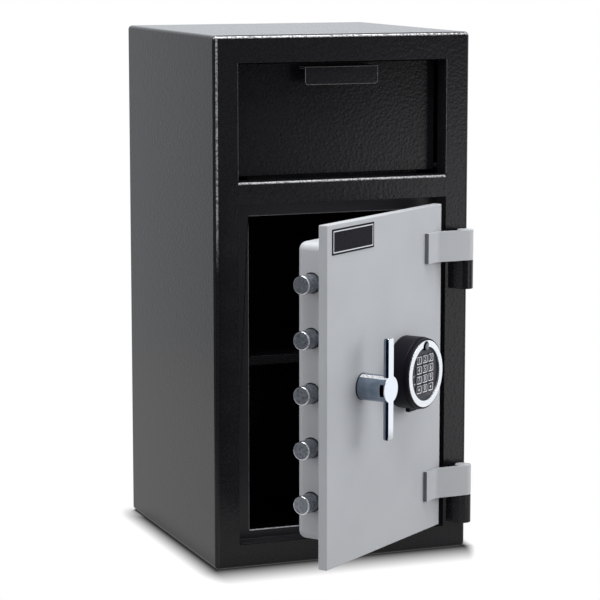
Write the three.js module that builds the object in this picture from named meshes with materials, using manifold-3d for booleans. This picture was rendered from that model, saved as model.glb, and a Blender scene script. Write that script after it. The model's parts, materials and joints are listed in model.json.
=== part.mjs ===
// Front-loading depository safe: a welded steel cabinet with a tilting deposit hopper at the top and a
// bolted door with a handle and an electronic keypad below.
// Millimetres. +X is to the right seen from the front, +Y runs to the back, +Z is up.
// The origin is the centre of the underside of the floor. The door is drawn closed and then swung open.

import * as THREE from 'three';
import { mergeVertices } from 'three/addons/utils/BufferGeometryUtils.js';
import Module from 'manifold-3d';

const wasm = await Module();
wasm.setup();

// Cabinet
const body_width = 355.6;
const body_depth = 362;
const body_height = 692.2;
const wall = 3;
const body_corner_radius = 5.5;
const body_edge_radius = 4.5;
const stile_width = 32.8;
const top_rail = 35.2;
const middle_rail = 29;
const bottom_rail = 31;
const hopper_opening_height = 152;
const opening_edge_radius = 1.8;
const anchor_hole_radius = 6.5;
const anchor_from_side = 65;
const anchor_from_end = 75;

// Clearances
const weld_gap = 0.3;
const bearing_gap = 0.3;
const cut_overrun = 1;
const cut_skin = 0.05;
const vertex_tolerance = 0.0001;

// Facets around a full circle
const coarse_facets = 24;
const fine_facets = 48;
const key_corner_facets = 3;
const edge_facets = 3;

// Frames behind the front sheet
const frame_sheet = 3;
const door_jamb_depth = 27;
const stop_lip_side = 23.5;
const stop_lip_top = 18;
const stop_lip_bottom = 12;
const hopper_jamb_depth = 30;
const hopper_stop_lip = 12;

// Door
const door_open_degrees = 36.5;
const door_recess = 11;
const door_thickness = 12.5;
const door_edge_radius = 1;
const door_gap_free = 2.7;
const door_gap_hinge = 1.5;
const door_gap_top = 8;
const door_gap_bottom = 5;

// Hinges
const knuckle_radius = 10.7;
const knuckle_height = 38;
const hinge_pin_radius = 5;
const hinge_end_wall = 5;
const hinge_axis_from_opening = 24;
const hinge_leaf_reach = 19.5;
const strap_height = 40;
const strap_thickness = 5;
const strap_length_on_door = 43;
const strap_bend_from_edge = 18.5;
const strap_bend_radius = 12;
const strap_running_gap = 0.5;
const upper_strap_below_door_top = 55;
const lower_strap_above_door_bottom = 60;

// Bolt pan behind the door plate
const pan_inset_free = 28.8;
const pan_inset_hinge = 31.5;
const pan_inset_top = 26.5;
const pan_inset_bottom = 27;
const pan_depth = 49.7;
const pan_sheet = 2.5;
const pan_corner_radius = 11;
const pan_edge_radius = 9;

// Boltwork
const bolt_count = 5;
const bolt_radius = 12;
const bolt_chamfer = 1.6;
const bolt_pitch = 69.5;
const bolt_behind_plate = 28;
const bolt_throw = 25;
const bolt_length = 39.7;
const bolt_tip_inset = 0.5;
const bolt_hole_gap = 1;
const bolt_bar_thickness = 8;
const bolt_bar_width = 30;
const bolt_bar_overhang = 31;
const guide_thickness = 5;
const guide_to_pan_wall = 2.6;
const guide_bolt_gap = 0.4;
const guide_end_clearance = 20;
const guide_depth = 44;
const dead_bar_thickness = 10;
const dead_bar_reach = 21;
const dead_bar_behind_plate = 23;
const dead_bar_end_inset = 12;

// Handle, spindle and crank
const handle_from_free_edge = 85.3;
const handle_above_door_middle = 4;
const handle_hub_radius = 17;
const handle_hub_height = 41.5;
const handle_hub_edge = 1.5;
const handle_bar_length = 130;
const handle_bar_middle_width = 17;
const handle_bar_end_width = 14.5;
const handle_bar_thickness = 7;
const handle_bar_corner = 3;
const handle_notch_from_front = 1.2;
const handle_notch_length = 5.5;
const handle_notch_depth = 4;
const handle_notch_width = 15;
const handle_running_gap = 0.5;
const spindle_radius = 6;
const bush_radius = 9;
const bush_flange_radius = 14;
const bush_flange_thickness = 2.2;
const cam_radius = 24;
const cam_thickness = 7;
const crank_turn_degrees = 90;
const crank_pin_radius = 4;
const crank_pin_length = 11.5;
const crank_slot_gap = 1;

// Link plate between the bolt bar, the crank and the lock
const link_thickness = 4;
const link_from_cam = 6;
const link_below_slot = 25;
const link_tongue_height = 14;
const link_tongue_overhang = 6;
const link_right_of_spindle = 4;

// Electronic lock case and its spring bolt
const lock_width = 66;
const lock_height = 85;
const lock_thickness = 33;
const lock_corner_radius = 4;
const lock_below_keypad = 43;
const lock_bolt_width = 24;
const lock_bolt_thickness = 12;
const lock_bolt_travel = 9;
const lock_bolt_buried = 16;
const lock_pocket_spare = 3;
const lock_bolt_nose = 11.4;

// Keypad
const keypad_to_pan_share = 0.6195;
const keypad_above_handle = 3;
const keypad_radius = 47;
const keypad_body_height = 26;
const keypad_bezel_radius = 45.6;
const keypad_bezel_height = 31;
const keypad_groove = 1;
const keypad_wall = 1.3;
const ring_inner_radius = 34.5;
const ring_outer_radius = 44;
const ring_thickness = 2.5;
const ring_bevel = 1.2;
const face_thickness = 3.2;
const face_overlap = 1.4;
const key_cavity_depth = 6;
const key_columns = 3;
const key_rows = 4;
const key_width = 13.2;
const key_height = 11;
const key_pitch_x = 15;
const key_pitch_z = 12.7;
const key_corner_radius = 2.6;
const key_crown = 0.5;
const key_proud = 1.3;
const key_flange = 0.4;
const key_flange_thickness = 1.2;
const contact_radius = 5.2;
const contact_height = 3.6;
const contact_rim = 1.2;
const contact_above_centre = 35.4;

// Battery drawer in the keypad
const battery_width = 28;
const battery_depth = 15;
const battery_height = 52;
const battery_from_door = 2.6;
const battery_tab_width = 18;
const battery_tab_depth = 6;
const battery_tab_drop = 4.2;

// Hopper
const hopper_recess = 32;
const hopper_plate = 5;
const hopper_side_gap = 3;
const hopper_bottom_gap = 4;
const hopper_top_gap = 2;
const hopper_pivot_behind_plate = 9;
const hopper_pivot_above_edge = 4;
const rod_radius = 4;
const bin_sheet = 2.5;
const bin_side_inset = 26;
const bin_floor_length = 108;
const bin_floor_drop_degrees = 18;
const bin_cheek_turn_degrees = 62;
const bin_cheek_top_inset = 10;
const bin_eye_radius = 11;
const bin_toe_height = 22;
const bracket_size = 22;
const bracket_thickness = 10;
const pull_width = 101;
const pull_height = 23;
const pull_sheet = 3;
const pull_stand_off = 24;
const pull_below_plate_top = 5;
const pull_corner_radius = 4;
const hopper_tilt_degrees = 45;

// Chute and baffle
const chute_sheet = 3;
const chute_length = 124;
const chute_drop_degrees = 18;
const chute_front_flange = 14.5;
const chute_rear_flange = 9;
const baffle_sheet = 3;
const baffle_to_bin = 9;
const baffle_bend_above_tip = 68;
const baffle_lean = 20;
const baffle_tooth_count = 16;
const baffle_tooth_depth = 9;

// Shelf
const shelf_top = 264.5;
const shelf_from_front = 80;
const shelf_sheet = 2;
const shelf_flange = 12;
const shelf_side_gap = 1.5;
const shelf_back_gap = 4;
const support_leg = 16;
const support_sheet = 2.5;
const support_setback = 6;

// Lines that several pieces share
const front = -body_depth / 2;
const back = body_depth / 2;
const inner_half_width = body_width / 2 - wall;
const opening_half_width = body_width / 2 - stile_width;
const door_opening_bottom = bottom_rail;
const hopper_opening_top = body_height - top_rail;
const hopper_opening_bottom = hopper_opening_top - hopper_opening_height;
const door_opening_top = hopper_opening_bottom - middle_rail;
const behind_front_sheet = front + wall + weld_gap;

const door_left = -opening_half_width + door_gap_free;
const door_right = opening_half_width - door_gap_hinge;
const door_bottom = door_opening_bottom + door_gap_bottom;
const door_top = door_opening_top - door_gap_top;
const door_middle = (door_bottom + door_top) / 2;
const door_face = front + door_recess;
const door_back = door_face + door_thickness;
const hinge_x = opening_half_width + hinge_axis_from_opening;
const hinge_y = front - knuckle_radius - weld_gap;

const pan_left = door_left + pan_inset_free;
const pan_right = door_right - pan_inset_hinge;
const pan_bottom = door_bottom + pan_inset_bottom;
const pan_top = door_top - pan_inset_top;
const pan_front = door_back + weld_gap;
const pan_back = pan_front + pan_depth;

const bolt_y = door_back + bolt_behind_plate;
const bolt_tip = pan_left + bolt_tip_inset - bolt_throw;
const bolt_root = bolt_tip + bolt_length;
const bolt_bar_left = bolt_root + weld_gap;
const bolt_bar_right = bolt_bar_left + bolt_bar_thickness;
const bolt_span = bolt_pitch * (bolt_count - 1);

const handle_x = door_left + handle_from_free_edge;
const handle_z = door_middle + handle_above_door_middle;
const keypad_x = handle_x + (pan_right - handle_x) * keypad_to_pan_share;
const keypad_z = handle_z + keypad_above_handle;
const crank_radius = bolt_throw / (2 * Math.sin(THREE.MathUtils.degToRad(crank_turn_degrees / 2)));
const crank_x = handle_x - bolt_throw / 2;
const crank_z = handle_z + crank_radius * Math.cos(THREE.MathUtils.degToRad(crank_turn_degrees / 2));
const cam_front = door_back + weld_gap + bush_flange_thickness + bearing_gap;
const cam_back = cam_front + cam_thickness;
const link_front = cam_back + link_from_cam;
const link_back = link_front + link_thickness;

const hopper_face = front + hopper_recess;
const hopper_back = hopper_face + hopper_plate;
const hopper_bottom = hopper_opening_bottom + hopper_bottom_gap;
const hopper_top = hopper_opening_top - hopper_top_gap;
const pivot_y = hopper_back + hopper_pivot_behind_plate;
const pivot_z = hopper_bottom + hopper_pivot_above_edge;
const bin_half_width = opening_half_width - bin_side_inset;
const bin_floor_drop = THREE.MathUtils.degToRad(bin_floor_drop_degrees);

// Paints and metals
function finish(color, roughness, metalness) {
  return new THREE.MeshStandardMaterial({ color, roughness, metalness });
}
const black_paint = finish(0x1d1b1f, 0.6, 0.1);
const grey_paint = finish(0xb4b6b9, 0.55, 0.1);
const zinc = finish(0x8c8f92, 0.35, 0.9);
const chrome = finish(0xe8eaec, 0.12, 1);
const steel = finish(0x7d7f82, 0.4, 0.9);
const black_plastic = finish(0x17171a, 0.5, 0);
const key_rubber = finish(0x2b2b30, 0.7, 0);
const silver_plate = finish(0xdcdde0, 0.3, 0.8);

// Closed meshes to solids and back
function weld(geometry) {
  const bare = geometry.index ? geometry.toNonIndexed() : geometry.clone();
  for (const name of Object.keys(bare.attributes)) {
    if (name !== 'position') {
      bare.deleteAttribute(name);
    }
  }
  const merged = mergeVertices(bare, vertex_tolerance);
  const corners = merged.index.array;
  const kept = [];
  for (let i = 0; i < corners.length; i += 3) {
    const [a, b, c] = [corners[i], corners[i + 1], corners[i + 2]];
    if (a !== b && b !== c && c !== a) {
      kept.push(a, b, c);
    }
  }
  merged.setIndex(kept);
  return merged;
}

function solid(geometry) {
  const merged = weld(geometry);
  const mesh = new wasm.Mesh({
    numProp: 3,
    vertProperties: new Float32Array(merged.attributes.position.array),
    triVerts: new Uint32Array(merged.index.array),
  });
  return new wasm.Manifold(mesh);
}

function geometryOf(manifold) {
  const mesh = manifold.getMesh();
  const geometry = new THREE.BufferGeometry();
  geometry.setAttribute('position', new THREE.BufferAttribute(new Float32Array(mesh.vertProperties), 3));
  geometry.setIndex(new THREE.BufferAttribute(new Uint32Array(mesh.triVerts), 1));
  geometry.computeVertexNormals();
  return geometry;
}

function joined(...pieces) {
  return pieces.reduce((whole, piece) => whole.add(piece));
}

function cut(whole, ...tools) {
  return tools.reduce((rest, tool) => rest.subtract(tool), whole);
}

// Basic solids between given planes
function block(x0, x1, y0, y1, z0, z1) {
  const geometry = new THREE.BoxGeometry(x1 - x0, y1 - y0, z1 - z0);
  geometry.translate((x0 + x1) / 2, (y0 + y1) / 2, (z0 + z1) / 2);
  return solid(geometry);
}

function alongX(shape, x0, x1, options = {}) {
  const geometry = new THREE.ExtrudeGeometry(shape, { depth: x1 - x0, bevelEnabled: false, ...options });
  geometry.applyMatrix4(new THREE.Matrix4().makeBasis(
    new THREE.Vector3(0, 1, 0), new THREE.Vector3(0, 0, 1), new THREE.Vector3(1, 0, 0)));
  geometry.translate(x0, 0, 0);
  return solid(geometry);
}

function alongY(shape, y0, y1, options = {}) {
  const geometry = new THREE.ExtrudeGeometry(shape, { depth: y1 - y0, bevelEnabled: false, ...options });
  geometry.rotateX(Math.PI / 2);
  geometry.translate(0, y1, 0);
  return solid(geometry);
}

function alongZ(shape, z0, z1, options = {}) {
  const geometry = new THREE.ExtrudeGeometry(shape, { depth: z1 - z0, bevelEnabled: false, ...options });
  geometry.translate(0, 0, z0);
  return solid(geometry);
}

function rodX(y, z, radius, x0, x1, facets = coarse_facets) {
  const geometry = new THREE.CylinderGeometry(radius, radius, x1 - x0, facets);
  geometry.rotateZ(Math.PI / 2);
  geometry.translate((x0 + x1) / 2, y, z);
  return solid(geometry);
}

function rodY(x, z, radius, y0, y1, facets = coarse_facets) {
  const geometry = new THREE.CylinderGeometry(radius, radius, y1 - y0, facets);
  geometry.translate(x, (y0 + y1) / 2, z);
  return solid(geometry);
}

function rodZ(x, y, radius, z0, z1, facets = coarse_facets) {
  const geometry = new THREE.CylinderGeometry(radius, radius, z1 - z0, facets);
  geometry.rotateX(Math.PI / 2);
  geometry.translate(x, y, (z0 + z1) / 2);
  return solid(geometry);
}

// A profile of radius and height turned about the line through (x, z), with its height rising from the
// plane y towards the front.
function turnedForward(profile, x, y, z, facets = fine_facets) {
  const points = profile.map(([radius, height]) => new THREE.Vector2(radius, height));
  const geometry = new THREE.LatheGeometry(points, facets);
  geometry.rotateX(Math.PI);
  geometry.translate(x, y, z);
  const turned = solid(geometry);
  return turned.volume() < 0 ? solid(flipped(geometry)) : turned;
}

function flipped(geometry) {
  const merged = weld(geometry);
  const corners = Array.from(merged.index.array);
  for (let i = 0; i < corners.length; i += 3) {
    [corners[i], corners[i + 1]] = [corners[i + 1], corners[i]];
  }
  merged.setIndex(corners);
  return merged;
}

// Outlines
function polygon(points) {
  return new THREE.Shape(points.map(([u, v]) => new THREE.Vector2(u, v)));
}

function roundedRectangle(u0, u1, v0, v1, radius, facets = edge_facets) {
  const points = [];
  const centres = [[u1 - radius, v0 + radius], [u1 - radius, v1 - radius],
    [u0 + radius, v1 - radius], [u0 + radius, v0 + radius]];
  centres.forEach(([u, v], corner) => {
    for (let step = 0; step <= facets; step += 1) {
      const angle = (corner - 1 + step / facets) * Math.PI / 2;
      points.push([u + radius * Math.cos(angle), v + radius * Math.sin(angle)]);
    }
  });
  return polygon(points);
}

function arcPoints(u, v, radius, from, to, facets) {
  const points = [];
  for (let step = 0; step <= facets; step += 1) {
    const angle = from + (to - from) * step / facets;
    points.push([u + radius * Math.cos(angle), v + radius * Math.sin(angle)]);
  }
  return points;
}

// Cabinet shell, made of one folded wrap with the front sheet in it
function makeBodyShell() {
  const half = body_width / 2;
  const outline = roundedRectangle(-half, half, 0, body_height, body_corner_radius);
  const bevel = {
    bevelEnabled: true,
    bevelThickness: body_edge_radius,
    bevelSize: body_edge_radius,
    bevelOffset: -body_edge_radius,
    bevelSegments: edge_facets,
  };
  const outer = alongY(outline, front + body_edge_radius, back + body_edge_radius, bevel);
  const rear = block(-body_width, body_width, back, back + body_depth, -body_height, 2 * body_height);
  const hollow = block(-inner_half_width, inner_half_width, front + wall, back + body_depth,
    wall, body_height - wall);
  return cut(outer, rear, hollow,
    openingCutter(door_opening_bottom, door_opening_top),
    openingCutter(hopper_opening_bottom, hopper_opening_top),
    ...anchorHoles());
}

// Four holes through the floor, to bolt the safe down from the inside
function anchorHoles() {
  const x = body_width / 2 - anchor_from_side;
  const y = body_depth / 2 - anchor_from_end;
  return [[-x, -y], [x, -y], [-x, y], [x, y]].map(([hole_x, hole_y]) =>
    rodZ(hole_x, hole_y, anchor_hole_radius, -cut_overrun, wall + cut_overrun));
}

// The cutter flares at its front end, which rounds the edge of the opening
function openingCutter(bottom, top) {
  const outline = polygon([[-opening_half_width, bottom], [opening_half_width, bottom],
    [opening_half_width, top], [-opening_half_width, top]]);
  const flare = {
    bevelEnabled: true,
    bevelThickness: opening_edge_radius,
    bevelSize: -opening_edge_radius,
    bevelOffset: opening_edge_radius,
    bevelSegments: edge_facets,
  };
  return alongY(outline, front - cut_skin + opening_edge_radius, front + wall + cut_overrun, flare);
}

function makeBackPanel() {
  const half = inner_half_width - weld_gap;
  return block(-half, half, back - wall, back, wall + weld_gap, body_height - wall - weld_gap);
}

function makeDoorFrame() {
  const half = opening_half_width;
  const lip_front = front + door_jamb_depth;
  const outer = block(-half - frame_sheet, half + frame_sheet, behind_front_sheet, lip_front + frame_sheet,
    door_opening_bottom - frame_sheet, door_opening_top + frame_sheet);
  const jamb = block(-half, half, front, lip_front, door_opening_bottom, door_opening_top);
  const lip_half = half - stop_lip_side;
  const way = block(-lip_half, lip_half, front, lip_front + frame_sheet + cut_overrun,
    door_opening_bottom + stop_lip_bottom, door_opening_top - stop_lip_top);
  return cut(outer, jamb, way);
}

function makeHopperFrame() {
  const half = opening_half_width;
  const rear = front + hopper_jamb_depth;
  const ring = cut(
    block(-half - frame_sheet, half + frame_sheet, behind_front_sheet, rear,
      hopper_opening_bottom - frame_sheet, hopper_opening_top + frame_sheet),
    block(-half, half, front, rear + cut_overrun, hopper_opening_bottom, hopper_opening_top));
  const stop = hopper_back + weld_gap;
  const roof = block(-half - frame_sheet, half + frame_sheet, rear - frame_sheet, stop + frame_sheet,
    hopper_opening_top, hopper_opening_top + frame_sheet);
  const lip = block(-half - frame_sheet, half + frame_sheet, stop, stop + frame_sheet,
    hopper_opening_top - hopper_stop_lip, hopper_opening_top + frame_sheet);
  return joined(ring, roof, lip);
}

// Sloped sheet under the hopper: it stands on the door frame and reaches both side walls
function makeChutePlate() {
  const slope = THREE.MathUtils.degToRad(chute_drop_degrees);
  const foot = door_opening_top + frame_sheet + weld_gap;
  const y0 = behind_front_sheet + hopper_jamb_depth - wall;
  const z0 = foot + chute_front_flange;
  const y1 = y0 + chute_length * Math.cos(slope);
  const z1 = z0 - chute_length * Math.sin(slope);
  const drop = chute_sheet / Math.cos(slope);
  const outline = polygon([
    [y0, foot], [y0 + chute_sheet, foot], [y0 + chute_sheet, z0 - drop - chute_sheet * Math.tan(slope)],
    [y1 - chute_sheet, z1 - drop + chute_sheet * Math.tan(slope)], [y1 - chute_sheet, z1 - chute_rear_flange],
    [y1, z1 - chute_rear_flange], [y1, z1], [y0, z0]]);
  const half = inner_half_width - weld_gap;
  return alongX(outline, -half, half);
}

// Where the rear edge of the bin floor stands when the hopper is fully tilted
function binTipAt(turn) {
  const angle = turn - bin_floor_drop;
  return [pivot_y + bin_floor_length * Math.cos(angle), pivot_z + bin_floor_length * Math.sin(angle)];
}

function makeFishingBaffle() {
  const [tip_y, tip_z] = binTipAt(THREE.MathUtils.degToRad(hopper_tilt_degrees));
  const y0 = tip_y + baffle_to_bin;
  const z0 = tip_z + baffle_to_bin;
  const bend_y = y0 + baffle_lean;
  const bend_z = z0 + baffle_bend_above_tip;
  const lean = Math.atan2(baffle_lean, baffle_bend_above_tip);
  const shift = baffle_sheet / Math.cos(lean);
  const top = body_height - wall - weld_gap;
  const outline = polygon([[y0, z0], [y0 + shift, z0], [bend_y + baffle_sheet, bend_z],
    [bend_y + baffle_sheet, top], [bend_y, top], [bend_y, bend_z]]);
  const half = inner_half_width - weld_gap;
  const sheet = alongX(outline, -half, half);
  const pitch = 2 * half / baffle_tooth_count;
  const notches = [];
  for (let tooth = 0; tooth < baffle_tooth_count; tooth += 1) {
    const x = -half + tooth * pitch;
    notches.push(alongY(polygon([[x, z0 - cut_overrun], [x + pitch, z0 - cut_overrun],
      [x + pitch / 2, z0 + baffle_tooth_depth]]), y0 - cut_overrun, y0 + baffle_lean));
  }
  return cut(sheet, ...notches);
}

function makeShelf() {
  const half = inner_half_width - shelf_side_gap;
  const y0 = front + shelf_from_front;
  const y1 = back - wall - shelf_back_gap;
  const plate = block(-half, half, y0, y1, shelf_top - shelf_sheet, shelf_top);
  const lip = block(-half, half, y0, y0 + shelf_sheet, shelf_top - shelf_flange, shelf_top);
  const upstand = block(-half, half, y1 - shelf_sheet, y1, shelf_top - shelf_flange, shelf_top);
  return joined(plate, lip, upstand);
}

function makeShelfSupport(side) {
  const seat = shelf_top - shelf_sheet - weld_gap;
  const wall_x = inner_half_width - weld_gap;
  const outline = polygon([[wall_x, seat], [wall_x - support_leg, seat], [wall_x - support_leg, seat - support_sheet],
    [wall_x - support_sheet, seat - support_sheet], [wall_x - support_sheet, seat - support_leg],
    [wall_x, seat - support_leg]].map(([x, z]) => [side * x, z]));
  return alongY(outline, front + shelf_from_front + support_setback, back - wall - shelf_back_gap - support_setback);
}

// Hinges: a barrel with a welded leaf on the front, a pin in it, and the strap's eye above it
const strap_heights = {
  upper: door_top - upper_strap_below_door_top,
  lower: door_bottom + lower_strap_above_door_bottom,
};

function knuckleTop(middle) {
  return middle - strap_height / 2 - strap_running_gap;
}

function makeHingeKnuckle(middle) {
  const top = knuckleTop(middle);
  const bottom = top - knuckle_height;
  const leaf_left = hinge_x - hinge_leaf_reach;
  const foot = front - weld_gap;
  const reach = Math.hypot(hinge_x - leaf_left, foot - hinge_y);
  const tangent = Math.atan2(foot - hinge_y, leaf_left - hinge_x) + Math.acos(knuckle_radius / reach);
  const arc = arcPoints(hinge_x, hinge_y, knuckle_radius, tangent, 2 * Math.PI, coarse_facets / 2);
  const outline = polygon([[leaf_left, foot], ...arc, [hinge_x + knuckle_radius, foot]]);
  const bore = rodZ(hinge_x, hinge_y, hinge_pin_radius + bearing_gap, bottom + hinge_end_wall, top + cut_overrun);
  return cut(alongZ(outline, bottom, top), bore);
}

function makeHingePin(middle) {
  const bottom = knuckleTop(middle) - knuckle_height + hinge_end_wall + bearing_gap;
  const top = middle + strap_height / 2 - hinge_end_wall - bearing_gap;
  return rodZ(hinge_x, hinge_y, hinge_pin_radius, bottom, top);
}

// The strap lies on the door, bends forward over the frame's edge and runs into the front of its eye
function makeHingeStrap(middle) {
  const y_front = door_face - weld_gap - strap_thickness;
  const y_back = door_face - weld_gap;
  const left = door_right - strap_length_on_door;
  const bend_x = door_right - strap_bend_from_edge;
  const dx = hinge_x - bend_x;
  const dy = hinge_y - y_front;
  const fall = Math.asin(knuckle_radius / Math.hypot(dx, dy)) - Math.atan2(dy, dx);
  const start = fall / 2;
  const inner = strap_bend_radius * Math.tan(start);
  const concave = arcPoints(bend_x - inner, y_front - strap_bend_radius, strap_bend_radius,
    Math.PI / 2, Math.PI / 2 - fall, edge_facets);
  const outer_radius = strap_bend_radius + strap_thickness;
  const convex = arcPoints(bend_x - inner, y_front - strap_bend_radius, outer_radius,
    Math.PI / 2 - fall, Math.PI / 2, edge_facets);
  const front_turn = -Math.PI / 2 - fall;
  const touch = [hinge_x + knuckle_radius * Math.cos(front_turn), hinge_y + knuckle_radius * Math.sin(front_turn)];
  const inside = [touch[0] + strap_thickness * Math.sin(fall), touch[1] + strap_thickness * Math.cos(fall)];
  const arm = alongZ(polygon([[left, y_front], ...concave, touch, inside, ...convex, [left, y_back]].reverse()),
    middle - strap_height / 2, middle + strap_height / 2);
  const eye = rodZ(hinge_x, hinge_y, knuckle_radius, middle - strap_height / 2, middle + strap_height / 2);
  const bore = rodZ(hinge_x, hinge_y, hinge_pin_radius + bearing_gap,
    middle - strap_height / 2 - cut_overrun, middle + strap_height / 2 - hinge_end_wall);
  return cut(joined(arm, eye), bore);
}

// Hopper rod and the blocks on the side walls that hold it
function makeHopperRod() {
  const end = inner_half_width - weld_gap;
  return rodX(pivot_y, pivot_z, rod_radius, -end, end);
}

function makeRodBracket(side) {
  const outside = side * (inner_half_width - weld_gap);
  const inside = side * (inner_half_width - weld_gap - bracket_thickness);
  const half = bracket_size / 2;
  const body = block(Math.min(outside, inside), Math.max(outside, inside),
    pivot_y - half, pivot_y + half, pivot_z - half, pivot_z + half);
  return cut(body, rodX(pivot_y, pivot_z, rod_radius + bearing_gap, -body_width, body_width));
}

function makeHopperFront() {
  const half = opening_half_width - hopper_side_gap;
  const outline = roundedRectangle(-half, half, hopper_bottom, hopper_top, door_edge_radius * 2);
  const bevel = {
    bevelEnabled: true,
    bevelThickness: door_edge_radius,
    bevelSize: door_edge_radius,
    bevelOffset: -door_edge_radius,
    bevelSegments: 1,
  };
  return alongY(outline, hopper_face + door_edge_radius, hopper_back - door_edge_radius, bevel);
}

// Bin: a sloped floor between two sector-shaped cheeks, hung on the rod
function makeHopperBin() {
  const y0 = hopper_back + weld_gap;
  const top = hopper_top - bin_cheek_top_inset;
  const rim_turn = THREE.MathUtils.degToRad(bin_cheek_turn_degrees);
  const below = pivot_z - bin_eye_radius;
  const sector = arcPoints(pivot_y, pivot_z, bin_floor_length, -bin_floor_drop, rim_turn, edge_facets * 4);
  const cheek = polygon([[y0, below], [pivot_y, below], floorPoint(bin_eye_radius, -bin_eye_radius),
    floorPoint(bin_floor_length, -bin_sheet), ...sector, [y0, top]]);
  const cheeks = joined(
    alongX(cheek, -bin_half_width, -bin_half_width + bin_sheet),
    alongX(cheek, bin_half_width - bin_sheet, bin_half_width));
  const floor = alongX(polygon([floorPoint(bin_eye_radius, 0), floorPoint(bin_eye_radius, -bin_sheet),
    floorPoint(bin_floor_length, -bin_sheet), floorPoint(bin_floor_length, 0)]), -bin_half_width, bin_half_width);
  const toe = block(-bin_half_width, bin_half_width, y0, y0 + bin_sheet, below - bin_sheet, below + bin_toe_height);
  const web = alongX(polygon([[y0, below - bin_sheet], [pivot_y + bin_eye_radius, below - bin_sheet],
    floorPoint(bin_eye_radius + bin_toe_height / 2, -bin_sheet), floorPoint(bin_eye_radius + bin_toe_height / 2, 0),
    [pivot_y + bin_eye_radius, below], [y0, below]]), -bin_half_width, bin_half_width);
  const bore = rodX(pivot_y, pivot_z, rod_radius + bearing_gap, -body_width, body_width);
  return cut(joined(cheeks, floor, toe, web), bore);
}

// A point at a distance along the bin floor from the pivot, and at a height above it, square to it
function floorPoint(along, above) {
  return [pivot_y + along * Math.cos(bin_floor_drop) + above * Math.sin(bin_floor_drop),
    pivot_z - along * Math.sin(bin_floor_drop) + above * Math.cos(bin_floor_drop)];
}

function makeHopperHandle() {
  const top = hopper_top - pull_below_plate_top;
  const y1 = hopper_face - weld_gap;
  const y0 = y1 - pull_stand_off;
  const half = pull_width / 2;
  const tread = block(-half, half, y0, y1, top - pull_sheet, top);
  const outline = roundedRectangle(-half, half, top - pull_height, top + pull_corner_radius, pull_corner_radius);
  const blade = cut(alongY(outline, y0, y0 + pull_sheet),
    block(-pull_width, pull_width, y0 - cut_overrun, y1, top, top + pull_height));
  return joined(tread, blade);
}

function makeDoorPlate() {
  const outline = roundedRectangle(door_left, door_right, door_bottom, door_top, door_edge_radius * 2);
  const bevel = {
    bevelEnabled: true,
    bevelThickness: door_edge_radius,
    bevelSize: door_edge_radius,
    bevelOffset: -door_edge_radius,
    bevelSegments: 2,
  };
  const plate = alongY(outline, door_face + door_edge_radius, door_back - door_edge_radius, bevel);
  return cut(plate, rodY(handle_x, handle_z, bush_radius + bearing_gap, front, door_back + cut_overrun));
}

// A pressed pan, rounded along its back edges, open towards the door plate
function panSolid(inset, front_y) {
  const corner = pan_corner_radius - inset;
  const edge = pan_edge_radius - inset;
  const outline = roundedRectangle(pan_left + inset, pan_right - inset, pan_bottom + inset, pan_top - inset, corner);
  const bevel = {
    bevelEnabled: true, bevelThickness: edge, bevelSize: edge, bevelOffset: -edge, bevelSegments: edge_facets,
  };
  const whole = alongY(outline, front_y - edge, pan_back - inset - edge, bevel);
  return whole.subtract(block(-body_width, body_width, front_y - body_depth, front_y, 0, body_height));
}

function boltHeights() {
  return Array.from({ length: bolt_count }, (_, i) => door_middle + bolt_span / 2 - i * bolt_pitch);
}

function makeBoltPan() {
  const holes = boltHeights().map((z) => rodX(bolt_y, z, bolt_radius + bolt_hole_gap,
    pan_left - cut_overrun, pan_left + pan_sheet + cut_overrun));
  return cut(panSolid(0, pan_front), panSolid(pan_sheet, pan_front - cut_overrun), ...holes);
}

// A comb behind the pan's wall that the bolts slide through, open towards the back of the pan
function makeBoltGuide() {
  const x0 = pan_left + pan_sheet + guide_to_pan_wall;
  const x1 = x0 + guide_thickness;
  const slot = bolt_radius + guide_bolt_gap;
  const y1 = pan_front + guide_depth;
  const bar = block(x0, x1, pan_front, y1, pan_bottom + guide_end_clearance, pan_top - guide_end_clearance);
  const slots = boltHeights().map((z) => joined(
    rodX(bolt_y, z, slot, x0 - cut_overrun, x1 + cut_overrun),
    block(x0 - cut_overrun, x1 + cut_overrun, bolt_y, y1 + cut_overrun, z - slot, z + slot)));
  return cut(bar, ...slots);
}

function makeDeadBar() {
  const y0 = door_back + dead_bar_behind_plate;
  return block(pan_right + weld_gap, pan_right + dead_bar_reach, y0, y0 + dead_bar_thickness,
    pan_bottom + dead_bar_end_inset, pan_top - dead_bar_end_inset);
}

function makeBoltBar() {
  const half = bolt_span / 2 + bolt_bar_overhang;
  return block(bolt_bar_left, bolt_bar_right, bolt_y - bolt_bar_width / 2, bolt_y + bolt_bar_width / 2,
    door_middle - half, door_middle + half);
}

function makeBolt(z) {
  const profile = [[0, 0], [bolt_radius, 0], [bolt_radius, bolt_length - bolt_chamfer],
    [bolt_radius - bolt_chamfer, bolt_length], [0, bolt_length]];
  const points = profile.map(([radius, height]) => new THREE.Vector2(radius, height));
  const geometry = new THREE.LatheGeometry(points, coarse_facets);
  geometry.rotateZ(Math.PI / 2);
  geometry.translate(bolt_root, bolt_y, z);
  return solid(geometry);
}

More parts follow.
